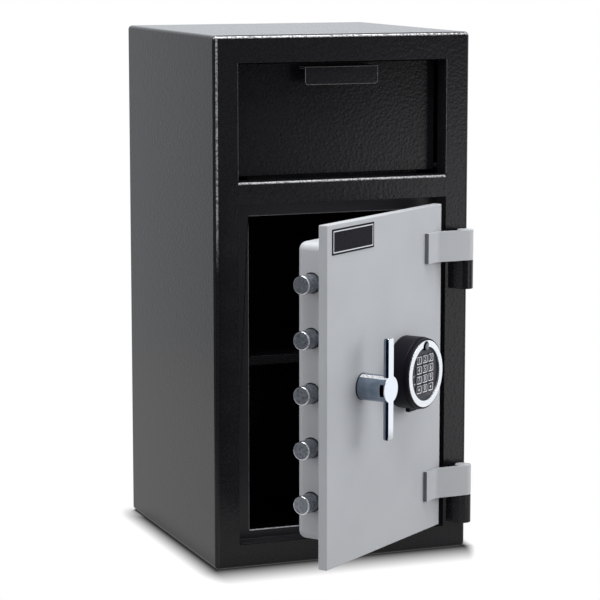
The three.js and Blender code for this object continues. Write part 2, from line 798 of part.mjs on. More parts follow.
// Handle: a round hub with a tapered bar across its front end and a notch in each side of the hub
function makeDoorHandle() {
  const base = door_face - handle_running_gap;
  const tip = handle_hub_height - handle_running_gap;
  const hub = turnedForward([[0, 0], [handle_hub_radius, 0], [handle_hub_radius, tip - handle_hub_edge],
    [handle_hub_radius - handle_hub_edge, tip], [0, tip]], handle_x, base, handle_z);
  const front_y = base - tip;
  const half = handle_bar_length / 2;
  const middle = handle_bar_middle_width / 2;
  const end = handle_bar_end_width / 2;
  const corner = handle_bar_corner;
  const quarter = [
    [middle, 0], [end, half - corner],
    ...arcPoints(end - corner, half - corner, corner, 0, Math.PI / 2, edge_facets).slice(1)];
  const upper_left = quarter.slice(1).reverse().map(([x, z]) => [-x, z]);
  const lower_left = quarter.map(([x, z]) => [-x, -z]);
  const lower_right = quarter.slice(1).reverse().map(([x, z]) => [x, -z]);
  const outline = [...quarter, ...upper_left, ...lower_left, ...lower_right]
    .map(([x, z]) => [x + handle_x, z + handle_z]);
  const bar = alongY(polygon(outline), front_y, front_y + handle_bar_thickness);
  const notch_y = front_y + handle_notch_from_front;
  const notches = [-1, 1].map((side) => {
    const rim = handle_x + side * handle_hub_radius;
    return block(rim - handle_notch_depth, rim + handle_notch_depth, notch_y, notch_y + handle_notch_length,
      handle_z - handle_notch_width / 2, handle_z + handle_notch_width / 2);
  });
  return joined(cut(hub, ...notches), bar);
}

function makeHandleSpindle() {
  return rodY(handle_x, handle_z, spindle_radius, door_face - handle_running_gap + weld_gap, cam_front - bearing_gap);
}

function makeSpindleBush() {
  const body = joined(
    rodY(handle_x, handle_z, bush_radius, door_face + weld_gap, door_back + weld_gap + bush_flange_thickness),
    rodY(handle_x, handle_z, bush_flange_radius, door_back + weld_gap, door_back + weld_gap + bush_flange_thickness));
  return cut(body, rodY(handle_x, handle_z, spindle_radius + bearing_gap, front, cam_back));
}

function makeCrankCam() {
  const disc = rodY(handle_x, handle_z, cam_radius, cam_front, cam_back);
  const pin = rodY(crank_x, crank_z, crank_pin_radius, cam_back - cut_overrun, cam_back + crank_pin_length);
  return joined(disc, pin);
}

// Link plate: a slot that the crank pin works in, and a tongue whose ramp pushes the lock's spring bolt down
const lock_top = keypad_z + lock_height - lock_below_keypad;
const lock_bolt_left = keypad_x - lock_bolt_width / 2;
const lock_bolt_right = keypad_x + lock_bolt_width / 2;
const ramp_slope = lock_bolt_travel / bolt_throw;
const nose_left = lock_top + lock_bolt_nose;

function rampHeight(x) {
  return nose_left + weld_gap + ramp_slope * (x - lock_bolt_left);
}

function makeLinkPlate() {
  const slot_half = crank_pin_radius + crank_slot_gap;
  const slot_bottom = crank_z - slot_half;
  const slot_top = handle_z + crank_radius + slot_half;
  const ramp_start = lock_bolt_left - bolt_throw - crank_slot_gap;
  const tongue_top = rampHeight(lock_bolt_right) + link_tongue_height;
  const left = bolt_bar_right + weld_gap;
  const right = handle_x + link_right_of_spindle;
  const outline = polygon([
    [left, slot_bottom - link_below_slot], [right, slot_bottom - link_below_slot],
    [right, rampHeight(ramp_start)], [ramp_start, rampHeight(ramp_start)],
    [lock_bolt_right, rampHeight(lock_bolt_right)],
    [lock_bolt_right + link_tongue_overhang, rampHeight(lock_bolt_right)],
    [lock_bolt_right + link_tongue_overhang, tongue_top], [left, tongue_top]]);
  const slot = alongY(roundedRectangle(crank_x - slot_half, crank_x + slot_half, slot_bottom, slot_top,
    crank_pin_radius), link_front - cut_overrun, link_back + cut_overrun);
  return cut(alongY(outline, link_front, link_back), slot);
}

function lockBoltBack() {
  return (link_front + link_back + lock_bolt_thickness) / 2;
}

function makeLockCase() {
  const outline = roundedRectangle(keypad_x - lock_width / 2, keypad_x + lock_width / 2,
    lock_top - lock_height, lock_top, lock_corner_radius);
  const floor = lock_top - lock_bolt_buried - lock_bolt_travel - lock_pocket_spare;
  const pocket = block(lock_bolt_left - bearing_gap, lock_bolt_right + bearing_gap,
    lockBoltBack() - lock_bolt_thickness - bearing_gap, lockBoltBack() + bearing_gap, floor, lock_top + cut_overrun);
  return cut(alongY(outline, pan_front, pan_front + lock_thickness), pocket);
}

function makeLockBolt() {
  const y1 = lockBoltBack();
  return alongY(polygon([[lock_bolt_left, lock_top - lock_bolt_buried],
    [lock_bolt_right, lock_top - lock_bolt_buried], [lock_bolt_right, rampHeight(lock_bolt_right) - weld_gap],
    [lock_bolt_left, nose_left]]), y1 - lock_bolt_thickness, y1);
}

// Keypad: stacked from the door plate outwards
const keypad_base = door_face - weld_gap;
const ring_seat = keypad_bezel_height - ring_thickness + ring_bevel;
const face_radius = ring_inner_radius + face_overlap;
const face_top = ring_seat - bearing_gap;
const face_seat = face_top - face_thickness - bearing_gap;
const cavity_radius = face_radius - face_overlap;
const cavity_floor = face_seat - key_cavity_depth;

function atKeypad(profile) {
  return turnedForward(profile, keypad_x, keypad_base, keypad_z);
}

function disc(radius, from, to) {
  return atKeypad([[0, from], [radius, from], [radius, to], [0, to]]);
}

function batteryPocket(clearance) {
  const y1 = keypad_base - battery_from_door + clearance;
  const y0 = keypad_base - battery_from_door - battery_depth - clearance;
  const half = battery_width / 2 + clearance;
  const top = keypad_z - keypad_radius + battery_height + clearance;
  return block(keypad_x - half, keypad_x + half, y0, y1, keypad_z - 2 * keypad_radius, top);
}

function makeKeypadHousing() {
  const body = atKeypad([[0, 0], [keypad_radius, 0], [keypad_radius, keypad_body_height - keypad_groove],
    [keypad_bezel_radius - keypad_groove, keypad_body_height],
    [keypad_bezel_radius, keypad_body_height + keypad_groove],
    [keypad_bezel_radius, keypad_bezel_height], [0, keypad_bezel_height]]);
  const top = keypad_bezel_height + cut_overrun;
  return cut(body,
    disc(ring_outer_radius + bearing_gap, ring_seat - bearing_gap, top),
    disc(face_radius + bearing_gap, face_seat, top),
    disc(cavity_radius, cavity_floor, top),
    batteryPocket(bearing_gap));
}

function contactHole(clearance) {
  return rodY(keypad_x, keypad_z + contact_above_centre, contact_radius + clearance,
    keypad_base - keypad_bezel_height - contact_height, keypad_base);
}

function makeKeypadRing() {
  const top = ring_seat + ring_thickness;
  const ring = atKeypad([[ring_inner_radius, ring_seat], [ring_outer_radius, ring_seat],
    [ring_outer_radius, top - ring_bevel], [ring_outer_radius - ring_bevel, top],
    [ring_inner_radius + ring_bevel / 2, top], [ring_inner_radius, top - ring_bevel / 2],
    [ring_inner_radius, ring_seat]]);
  return cut(ring, contactHole(bearing_gap));
}

function makeKeypadContact() {
  const from = ring_seat;
  const to = ring_seat + contact_height;
  const profile = [[0, from], [contact_radius, from], [contact_radius, to - contact_rim / 2],
    [contact_radius - contact_rim / 2, to], [contact_radius - contact_rim, to],
    [contact_radius - 1.5 * contact_rim, to - contact_rim / 2], [0, to - contact_rim / 2]];
  return turnedForward(profile, keypad_x, keypad_base, keypad_z + contact_above_centre, coarse_facets);
}

function keyPlaces() {
  const names = ['1', '2', '3', '4', '5', '6', '7', '8', '9', 'left', '0', 'right'];
  return names.map((name, i) => {
    const column = i % key_columns;
    const row = Math.floor(i / key_columns);
    const x = keypad_x + (column - (key_columns - 1) / 2) * key_pitch_x;
    const z = keypad_z - (row - (key_rows - 1) / 2) * key_pitch_z;
    return { name, x, z };
  });
}

function keyPrism({ x, z }, grow, from, to, options = {}) {
  const outline = roundedRectangle(x - key_width / 2 - grow, x + key_width / 2 + grow,
    z - key_height / 2 - grow, z + key_height / 2 + grow, key_corner_radius, key_corner_facets);
  return alongY(outline, keypad_base - to, keypad_base - from, options);
}

function makeKeypadFace() {
  const face = disc(face_radius, face_seat + bearing_gap, face_top);
  return cut(face, ...keyPlaces().map((place) =>
    keyPrism(place, bearing_gap, face_seat - cut_overrun, face_top + cut_overrun)));
}

// A key: a cap that comes through the face, with a flange behind the face that keeps it in
function makeKey(place) {
  const crown = {
    bevelEnabled: true, bevelThickness: key_crown, bevelSize: key_crown, bevelOffset: -key_crown, bevelSegments: 1,
  };
  const top = face_top + key_proud;
  const cap = keyPrism(place, 0, face_seat - key_flange_thickness, top - key_crown, crown);
  const flange = keyPrism(place, bearing_gap + key_flange, face_seat - key_flange_thickness, face_seat);
  const below = keyPrism(place, key_flange + bearing_gap + cut_overrun,
    face_seat - key_flange_thickness - key_crown - cut_overrun, face_seat - key_flange_thickness);
  return joined(cap, flange).subtract(below);
}

function makeBatteryDrawer() {
  const body = batteryPocket(0).intersect(
    turnedForward([[0, 0], [keypad_radius, 0], [keypad_radius, keypad_radius], [0, keypad_radius]],
      keypad_x, keypad_base, keypad_z));
  const tab_middle = keypad_base - battery_from_door - battery_depth / 2;
  const bottom = keypad_z - keypad_radius;
  const tab = block(keypad_x - battery_tab_width / 2, keypad_x + battery_tab_width / 2,
    tab_middle - battery_tab_depth / 2, tab_middle + battery_tab_depth / 2,
    bottom - battery_tab_drop, bottom + battery_depth);
  return joined(body, tab);
}

// Scene graph: the cabinet and the hopper stand still, and the door group turns about the hinge pins
function piece(name, manifold, material) {
  const mesh = new THREE.Mesh(geometryOf(manifold), material);
  mesh.name = name;
  return mesh;
}

const cabinet = new THREE.Group();
cabinet.add(
  piece('body_shell', makeBodyShell(), black_paint),
  piece('back_panel', makeBackPanel(), black_paint),
  piece('door_frame', makeDoorFrame(), black_paint),
  piece('hopper_frame', makeHopperFrame(), black_paint),
  piece('chute_plate', makeChutePlate(), black_paint),
  piece('fishing_baffle', makeFishingBaffle(), black_paint),
  piece('shelf', makeShelf(), black_paint),
  piece('shelf_support_left', makeShelfSupport(-1), black_paint),
  piece('shelf_support_right', makeShelfSupport(1), black_paint),
  piece('hopper_rod', makeHopperRod(), zinc),
  piece('rod_bracket_left', makeRodBracket(-1), black_paint),
  piece('rod_bracket_right', makeRodBracket(1), black_paint));
for (const [place, middle] of Object.entries(strap_heights)) {
  cabinet.add(
    piece(`hinge_knuckle_${place}`, makeHingeKnuckle(middle), black_paint),
    piece(`hinge_pin_${place}`, makeHingePin(middle), steel));
}

const hopper = new THREE.Group();
hopper.add(
  piece('hopper_front', makeHopperFront(), black_paint),
  piece('hopper_bin', makeHopperBin(), black_paint),
  piece('hopper_handle', makeHopperHandle(), black_paint));

const door = new THREE.Group();
door.add(
  piece('door_plate', makeDoorPlate(), grey_paint),
  piece('bolt_pan', makeBoltPan(), grey_paint),
  piece('bolt_guide', makeBoltGuide(), steel),
  piece('dead_bar', makeDeadBar(), zinc),
  piece('bolt_bar', makeBoltBar(), steel),
  piece('link_plate', makeLinkPlate(), steel),
  piece('spindle_bush', makeSpindleBush(), steel),
  piece('handle_spindle', makeHandleSpindle(), steel),
  piece('crank_cam', makeCrankCam(), steel),
  piece('door_handle', makeDoorHandle(), chrome),
  piece('lock_case', makeLockCase(), silver_plate),
  piece('lock_bolt', makeLockBolt(), zinc),
  piece('keypad_housing', makeKeypadHousing(), black_plastic),
  piece('keypad_ring', makeKeypadRing(), silver_plate),
  piece('keypad_face', makeKeypadFace(), black_plastic),
  piece('keypad_contact', makeKeypadContact(), silver_plate),
  piece('battery_drawer', makeBatteryDrawer(), black_plastic));
for (const [place, middle] of Object.entries(strap_heights)) {
  door.add(piece(`hinge_strap_${place}`, makeHingeStrap(middle), grey_paint));
}
boltHeights().forEach((z, i) => door.add(piece(`bolt_${i + 1}`, makeBolt(z), zinc)));
keyPlaces().forEach((place) => door.add(piece(`key_${place.name}`, makeKey(place), key_rubber)));
door.position.set(-hinge_x, -hinge_y, 0);

const door_swing = new THREE.Group();
door_swing.position.set(hinge_x, hinge_y, 0);
door_swing.rotation.z = THREE.MathUtils.degToRad(door_open_degrees);
door_swing.add(door);

const safe = new THREE.Group();
safe.add(cabinet, hopper, door_swing);
safe.updateMatrixWorld(true);

export default safe;
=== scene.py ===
# The looks of a drop safe with a tilting deposit hopper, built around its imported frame.
# Metres, in the part's own axes: +X to the right, +Y to the back, +Z up. The door stands open, as packed,
# and what belongs to it is modelled shut and then swung open with it.

import json
import math

import bpy
from mathutils import Matrix, Vector


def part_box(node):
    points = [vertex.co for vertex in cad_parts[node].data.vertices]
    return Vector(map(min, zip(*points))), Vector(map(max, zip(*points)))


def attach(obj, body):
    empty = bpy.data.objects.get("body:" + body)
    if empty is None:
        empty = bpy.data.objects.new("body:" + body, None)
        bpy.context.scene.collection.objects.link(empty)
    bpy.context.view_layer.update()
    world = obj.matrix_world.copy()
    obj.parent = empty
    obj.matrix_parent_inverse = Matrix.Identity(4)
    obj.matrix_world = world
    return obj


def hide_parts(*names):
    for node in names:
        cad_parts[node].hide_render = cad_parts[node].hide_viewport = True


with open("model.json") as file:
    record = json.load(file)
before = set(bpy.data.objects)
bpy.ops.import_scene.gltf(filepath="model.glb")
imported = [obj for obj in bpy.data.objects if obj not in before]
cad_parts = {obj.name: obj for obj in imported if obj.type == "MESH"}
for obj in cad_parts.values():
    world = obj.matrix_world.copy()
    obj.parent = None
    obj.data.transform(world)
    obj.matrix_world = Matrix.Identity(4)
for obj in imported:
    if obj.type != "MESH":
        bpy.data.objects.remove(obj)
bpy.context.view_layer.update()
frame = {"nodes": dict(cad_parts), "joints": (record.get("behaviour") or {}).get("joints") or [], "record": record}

MM = 0.001
TOUCH = 0.01 * MM
OVERRUN = 5 * MM
FLAT_ANGLE = math.radians(0.4)
SHARP_ANGLE = 30
DOT_FACETS = 24
SMALL_ROUND_FACETS = 48
HOLE_FACETS = 64
ROD_FACETS = 96
FINE_FACETS = 128

# Cabinet
SHEET = 3 * MM
CABINET_CORNER = 5.5 * MM
CABINET_EDGE = 5.4 * MM
OPENING_EDGE = 1.9 * MM
SILL_EDGE = 2.7 * MM
SIDE_STILE = 15 * MM
# Heights over which the painted highlight on the cabinet's rounded edges fades in
EDGE_HIGHLIGHT_FADES_FROM = 0.39
EDGE_HIGHLIGHT_FULL_FROM = 0.48
ANCHOR_HOLE_RADIUS = 6.5 * MM
ANCHOR_FROM_SIDE = 65 * MM
ANCHOR_FROM_END = 75 * MM
FRAME_EDGE = 1.1 * MM
LOW_LIP = 40 * MM
LIP_FOLD = 6 * MM
SHEET_EDGE = 0.5 * MM
WELD_FILL = 0.4 * MM

# Door
PLATE_EDGE = 1.1 * MM
PAN_CORNER = 11 * MM
PAN_BACK_EDGE = 9 * MM
PAN_SHEET = 2.5 * MM
PAN_HOLE_EDGE = 0.4 * MM
BOLT_HOLE_GAP = 1.3 * MM
BOLT_CHAMFER = 1.6 * MM
# Which way the bolts' rim faces with a painted highlight point, and the straps' end faces with painted shade
BOLT_HIGHLIGHT_SIDE = 0.4
STRAP_END_FACING = 0.9
BUSH_GAP = 0.3 * MM
STRAP_EDGE = 0.8 * MM
BARREL_EDGE = 0.7 * MM

# Handle
BAR_WIDTH = 17 * MM
BAR_END_SHARE = 0.86
BAR_THICKNESS = 7 * MM
BAR_CORNER = 3.3 * MM
BAR_EDGE = 1.7 * MM
BAR_DARK_DEPTH = 3.7 * MM
BAR_BACK_EDGE = 0.7 * MM
HUB_EDGE = 0.8 * MM
FOOT_RING_HEIGHT = 1.2 * MM
FOOT_RING_OVERHANG = 0.3 * MM
NOTCH_FROM_FRONT = 1.2 * MM
NOTCH_LENGTH = 5.5 * MM
NOTCH_DEPTH = 4 * MM
NOTCH_WIDTH = 15 * MM
# Where the painted highlight lies on the hub, as angles from its top
HUB_HIGHLIGHT_FROM = math.radians(14)
HUB_HIGHLIGHT_TO = math.radians(36)
BAR_SIDE = 0.45

# Keypad, with heights measured out from the door
KEYPAD_RIM_HEIGHT = 26 * MM
KEYPAD_BEZEL_RADIUS = 45.6 * MM
KEYPAD_BEZEL_EDGE = 0.6 * MM
KEYPAD_GROOVE = 0.9 * MM
RING_BEVEL = 1 * MM
RING_BAND = 8.2 * MM
RING_TRIM = 0.7 * MM
FACE_EDGE = 0.3 * MM
KEY_FLANGE = 0.7 * MM
KEY_CORNER = 2.6 * MM
KEY_CROWN = 0.5 * MM
KEY_LINE = 0.9 * MM
KEY_DISH = 0.25 * MM
DIGIT_FONT_SIZE = 9.45 * MM
DIGIT_THICKNESS = 0.12 * MM
MARK_RADIUS = 1.7 * MM
LAMP_DOT_RADIUS = 0.9 * MM
LAMP_DOTS = [(-29 * MM, 10.1 * MM), (-27 * MM, -0.5 * MM), (-24.5 * MM, -10.6 * MM)]
CONTACT_GAP = 1.9 * MM
CONTACT_CROWN = 1 * MM
CONTACT_DARK_FROM = -0.75
# The contact's dome, as shares of its radius and of its height
CONTACT_DOME = [(1, 0), (1, 0.6), (0.96, 0.74), (0.86, 0.86), (0.68, 0.94), (0.42, 0.985), (0.15, 1)]

# Plain plate on the door
NAME_PLATE_LOW = Vector((-131, 0, 430)) * MM
NAME_PLATE_HIGH = Vector((-31.5, 0, 462)) * MM
NAME_PLATE_THICKNESS = 0.8 * MM
NAME_PLATE_MARGIN = 2.3 * MM
NAME_PLATE_LINE = 1.3 * MM

# Stage
CLOSE_SHADOW_REACH = 38 * MM
SHADOW_REACH = 72 * MM
SHADOW_STARTS_BEFORE_BACK = 55 * MM
SHADOW_LEAN = 0.38
# How many times sooner the cabinet's shadow fades at its sides than at its front and back
SHADOW_FADE_AT_RIGHT = 5
SHADOW_FADE_AT_LEFT = 2.6
DEEPEST_SHADOW = 0.03
CLOSE_SHADOW_DARK_AT = 0.45
CLOSE_SHADOW_ENDS_AT = 0.76
FLOOR_CENTRE = (0.1, 0.5, -0.00001)
FLOOR_SIZE = (1.7, 2.1, 1)
FLOOR_COLOR = (0.3, 0.3, 0.3, 1)
FLOOR_IN_GLOSS = 0.47
FLOOR_SHARE_IN_GLOSS = 0.76
WHITE = (1, 1, 1, 1)
FILL_COLOR = (0.96, 0.98, 1, 1)
FILL_LIGHT = 0.3
ROOM_COLOR = (0.92, 0.96, 1, 1)
TO_RIGHT_AND_BACK = (0.72, 0.7, 0)
LEFT_WALL = 0.2

# Camera
CAMERA_PLACE = (-1.1787, -3.0779, 0.8225)
CAMERA_YAW = math.radians(21.1)
CAMERA_PITCH = math.radians(-8.66)
SENSOR_WIDTH = 36
FOCAL_LENGTH = 145.4

swing = next(joint for joint in frame["joints"] if joint["name"] == "door_swing")
hinge = Vector(swing["pos_m"])
open_turn = (Matrix.Translation(hinge) @ Matrix.Rotation(math.radians(-swing["range_deg"][0]), 4, "Z")
             @ Matrix.Translation(-hinge))
shut_turn = open_turn.inverted()


# Modelling helpers

def only(piece):
    """Selects one piece alone and makes it active."""
    bpy.ops.object.select_all(action="DESELECT")
    piece.select_set(True)
    bpy.context.view_layer.objects.active = piece


def added(name):
    """Names the primitive that was just added and puts its place into its mesh."""
    piece = bpy.context.object
    piece.name = name
    piece.data.name = name
    bpy.ops.object.transform_apply(location=True, rotation=True, scale=True)
    return piece


def block(name, low, high):
    bpy.ops.object.select_all(action="DESELECT")
    bpy.ops.mesh.primitive_cube_add(size=1, location=(low + high) / 2, scale=high - low)
    return added(name)


def rod(name, start, end, radius, facets=ROD_FACETS):
    bpy.ops.object.select_all(action="DESELECT")
    line = end - start
    bpy.ops.mesh.primitive_cylinder_add(vertices=facets, radius=radius, depth=line.length,
                                        location=(start + end) / 2,
                                        rotation=line.to_track_quat("Z", "Y").to_euler())
    return added(name)


def pick(piece, kind, test):
    """Opens the piece in edit mode with the vertices, edges or faces whose corners pass the test."""
    only(piece)
    bpy.ops.object.mode_set(mode="EDIT")
    bpy.ops.mesh.select_mode(type=kind)
    bpy.ops.mesh.select_all(action="DESELECT")
    bpy.ops.object.mode_set(mode="OBJECT")
    mesh = piece.data
    parts = {"VERT": mesh.vertices, "EDGE": mesh.edges, "FACE": mesh.polygons}[kind]
    for part in parts:
        corners = [part.co] if kind == "VERT" else [mesh.vertices[i].co for i in part.vertices]
        part.select = bool(test(corners))
    bpy.ops.object.mode_set(mode="EDIT")


def done():
    bpy.ops.object.mode_set(mode="OBJECT")


def round_edges(piece, test, radius, segments, finish=-1):
    """Rounds the edges that pass the test; finish is the index of the material that the round gets."""
    pick(piece, "EDGE", test)
    bpy.ops.mesh.bevel(offset=radius, segments=segments, affect="EDGES", clamp_overlap=True, material=finish)
    done()


def modified(piece, kind, **settings):
    """Adds a modifier with its settings and applies it."""
    only(piece)
    modifier = piece.modifiers.new(kind.lower(), kind)
    for setting, value in settings.items():
        setattr(modifier, setting, value)
    bpy.ops.object.modifier_apply(modifier=modifier.name)
    return piece


def cut(piece, *cutters):
    for cutter in cutters:
        modified(piece, "BOOLEAN", operation="DIFFERENCE", solver="EXACT", object=cutter)
        bpy.data.objects.remove(cutter)


def painted(piece, *finishes):
    """Gives a piece its materials, the first of them all over."""
    piece.data.materials.clear()
    for finish in finishes:
        piece.data.materials.append(materials[finish])
    return piece


def fine_edges(piece, width, segments=3, angle=SHARP_ANGLE):
    """Rounds every sharp edge a little, in the piece's last finish, and shades the rest smooth."""
    finish = len(piece.data.materials) - 1
    modified(piece, "BEVEL", width=width, segments=segments, limit_method="ANGLE",
             angle_limit=math.radians(angle), use_clamp_overlap=True, miter_outer="MITER_ARC",
             material=finish)
    return shaded(piece, angle)


def rubbed_only(piece, test):
    """Leaves the piece's painted highlight finishes only on the faces whose centre and normal pass the test."""
    for polygon in piece.data.polygons:
        if polygon.material_index and not test(polygon.center, polygon.normal):
            polygon.material_index = 0


def shaded(piece, angle=SHARP_ANGLE):
    only(piece)
    bpy.ops.object.shade_smooth_by_angle(angle=math.radians(angle))
    return modified(piece, "WEIGHTED_NORMAL", keep_sharp=True, weight=80)


def turned(name, place, profile, facets=FINE_FACETS):
    """Builds up a round piece on the door; its profile of radius and height rises from the place to -Y."""
    bpy.ops.object.select_all(action="DESELECT")
    radius, height = profile[0]
    bpy.ops.mesh.primitive_circle_add(vertices=facets, radius=radius, fill_type="NGON",
                                      location=(0, 0, height))
    bpy.ops.object.transform_apply(location=True, rotation=True, scale=True)
    bpy.ops.object.mode_set(mode="EDIT")
    bpy.ops.mesh.select_all(action="SELECT")
    for next_radius, next_height in profile[1:]:
        bpy.ops.mesh.extrude_region_move(
            TRANSFORM_OT_translate={"value": (0, 0, next_height - height)})
        share = next_radius / radius
        bpy.ops.transform.resize(value=(share, share, 1), center_override=(0, 0, next_height))
        radius, height = next_radius, next_height
    bpy.ops.mesh.select_all(action="SELECT")
    bpy.ops.mesh.normals_make_consistent(inside=False)
    done()
    piece = bpy.context.object
    piece.rotation_euler = (math.radians(90), 0, 0)
    piece.location = place
    return added(name)


def merged_copy(node, name):
    """A copy of a CAD node whose loose triangles are merged into clean faces."""
    piece = bpy.data.objects.new(name, frame["nodes"][node].data.copy())
    bpy.context.scene.collection.objects.link(piece)
    pick(piece, "VERT", lambda corners: True)
    bpy.ops.mesh.remove_doubles(threshold=TOUCH)
    bpy.ops.mesh.dissolve_limited(angle_limit=FLAT_ANGLE)
    done()
    return piece


def widened(piece, margin):
    """Moves the piece's sides out by a margin in X and Z, as its weld does."""
    low = Vector(map(min, *(vertex.co for vertex in piece.data.vertices)))
    high = Vector(map(max, *(vertex.co for vertex in piece.data.vertices)))
    size = high - low
    pick(piece, "VERT", lambda corners: True)
    bpy.ops.transform.resize(value=(1 + 2 * margin / size.x, 1, 1 + 2 * margin / size.z),
                             center_override=(low + high) / 2)
    done()


def shut_box(node):
    """Lowest and highest corner of a door node with the door shut."""
    corners = [shut_turn @ vertex.co for vertex in frame["nodes"][node].data.vertices]
    return (Vector(map(min, *corners)), Vector(map(max, *corners)))


def swung_open(piece):
    only(piece)
    piece.matrix_world = open_turn
    bpy.ops.object.transform_apply(location=True, rotation=True, scale=True)
    return piece


def joined(piece, *others):
    only(piece)
    for other in others:
        other.select_set(True)
    bpy.ops.object.join()
    return piece


def settle(piece, slot, body, *nodes):
    """Gives a piece the named finish if it has none yet, hangs it on the body it moves with and hides the CAD
    nodes it stands for.
    """
    if not piece.data.materials:
        painted(piece, slot)
    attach(piece, body)
    if nodes:
        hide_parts(*nodes)


# Finishes

def linear(channel):
    return channel / 12.92 if channel <= 0.04045 else ((channel + 0.055) / 1.055) ** 2.4


def paint(code):
    """A linear colour from a six-digit web colour."""
    return tuple(linear(int(code[i:i + 2], 16) / 255) for i in (0, 2, 4)) + (1,)


class Finish:
    """A procedural material on object coordinates, built up by its maker."""

    def __init__(self, name, color, roughness, metallic=0.0):
        self.material = bpy.data.materials.new(name)
        self.material.use_nodes = True
        self.nodes = self.material.node_tree.nodes
        self.links = self.material.node_tree.links
        self.shader = self.nodes["Principled BSDF"]
        self.shader.inputs["Base Color"].default_value = color
        self.shader.inputs["Roughness"].default_value = roughness
        self.shader.inputs["Metallic"].default_value = metallic
        self.place = self.nodes.new("ShaderNodeTexCoord").outputs["Object"]

    def noise(self, size, detail=2.0, stretch=(1, 1, 1)):
        """Noise whose spots are about the given size, drawn out by the stretch."""
        mapping = self.nodes.new("ShaderNodeMapping")
        mapping.inputs["Scale"].default_value = [1 / (size * share) for share in stretch]
        self.links.new(self.place, mapping.inputs["Vector"])
        texture = self.nodes.new("ShaderNodeTexNoise")
        texture.inputs["Scale"].default_value = 1
        texture.inputs["Detail"].default_value = detail
        self.links.new(mapping.outputs["Vector"], texture.inputs["Vector"])
        return texture.outputs["Fac"]

    def spots(self, size):
        """Rounded cells of about the given size."""
        mapping = self.nodes.new("ShaderNodeMapping")
        mapping.inputs["Scale"].default_value = [1 / size] * 3
        self.links.new(self.place, mapping.inputs["Vector"])
        texture = self.nodes.new("ShaderNodeTexVoronoi")
        texture.feature = "SMOOTH_F1"
        texture.inputs["Scale"].default_value = 1
        self.links.new(mapping.outputs["Vector"], texture.inputs["Vector"])
        return texture.outputs["Distance"]

    def between(self, value, low, high, from_low=0.3, from_high=0.7):
        """Maps a value to a range, with its ends held."""
        ramp = self.nodes.new("ShaderNodeMapRange")
        ramp.inputs["From Min"].default_value = from_low
        ramp.inputs["From Max"].default_value = from_high
        ramp.inputs["To Min"].default_value = low
        ramp.inputs["To Max"].default_value = high
        self.links.new(value, ramp.inputs["Value"])
        return ramp.outputs["Result"]

    def height(self):
        """How high on the object, in metres."""
        axes = self.nodes.new("ShaderNodeSeparateXYZ")
        self.links.new(self.place, axes.inputs["Vector"])
        return axes.outputs["Z"]

    def times(self, one, other):
        product = self.nodes.new("ShaderNodeMath")
        product.operation = "MULTIPLY"
        self.links.new(one, product.inputs[0])
        self.links.new(other, product.inputs[1])
        return product.outputs["Value"]

    def shades(self, value, dark, light):
        """Colours the surface between two shades."""
        mix = self.nodes.new("ShaderNodeMix")
        mix.data_type = "RGBA"
        mix.inputs["A"].default_value = dark
        mix.inputs["B"].default_value = light
        self.links.new(value, mix.inputs["Factor"])
        self.links.new(mix.outputs["Result"], self.shader.inputs["Base Color"])

    def rough(self, value, low, high):
        self.links.new(self.between(value, low, high), self.shader.inputs["Roughness"])

    def bumps(self, *layers):
        """Stacks bump layers, each a value, its strength and its depth."""
        before = None
        for value, strength, depth in layers:
            bump = self.nodes.new("ShaderNodeBump")
            bump.inputs["Strength"].default_value = strength
            bump.inputs["Distance"].default_value = depth
            self.links.new(value, bump.inputs["Height"])
            if before:
                self.links.new(before, bump.inputs["Normal"])
            before = bump.outputs["Normal"]
        self.links.new(before, self.shader.inputs["Normal"])


def black_powder_coat():
    finish = Finish("black_powder_coat", paint("17161A"), 0.2)
    grain = finish.noise(1.7 * MM, 2)
    finish.shades(finish.between(grain, 0, 1), paint("161518"), paint("1C1B1F"))
    finish.shader.inputs["Specular IOR Level"].default_value = 0.34
    finish.rough(grain, 0.17, 0.25)
    finish.bumps((finish.spots(3.6 * MM), 0.48, 0.3 * MM), (grain, 0.3, 0.12 * MM))
    return finish.material


def black_coat_inside():
    """The frame of the door opening has a rougher coat than the front, painted a little paler for the light it
    catches.
    """
    finish = Finish("black_coat_inside", paint("28272B"), 0.4)
    grain = finish.noise(1.9 * MM, 2)
    finish.shades(finish.between(grain, 0, 1), paint("222125"), paint("333236"))
    finish.rough(grain, 0.34, 0.46)
    finish.bumps((grain, 0.6, 0.25 * MM),)
    return finish.material


def black_coat_on_edges():
    """Painted highlight on the cabinet's rounded edges: pale and up to half metallic in spots, fading out below a
    set height.
    """
    finish = Finish("black_coat_on_edges", paint("26252A"), 0.25)
    grain = finish.noise(1.3 * MM, 3)
    finish.rough(grain, 0.22, 0.36)
    highlight = finish.times(finish.between(finish.noise(2.4 * MM, 2), 0.18, 0.95, 0.43, 0.55),
                        finish.between(finish.height(), 0, 1, EDGE_HIGHLIGHT_FADES_FROM, EDGE_HIGHLIGHT_FULL_FROM))
    finish.links.new(finish.between(highlight, 0, 0.5, 0, 1), finish.shader.inputs["Metallic"])
    finish.shades(highlight, paint("1B1A1E"), paint("C6C6CA"))
    finish.bumps((grain, 0.3, 0.12 * MM),)
    return finish.material


def black_coat_on_lips():
    """A fainter painted highlight on the edges of the sheet round and inside the openings and on the hopper's
    pull.
    """
    finish = Finish("black_coat_on_lips", paint("3A393E"), 0.3)
    grain = finish.noise(1.3 * MM, 3)
    finish.rough(grain, 0.25, 0.38)
    finish.links.new(finish.between(grain, 0.15, 0.5), finish.shader.inputs["Metallic"])
    finish.shades(finish.between(grain, 0, 1), paint("68676C"), paint("B6B5BB"))
    finish.bumps((grain, 0.3, 0.12 * MM),)
    return finish.material


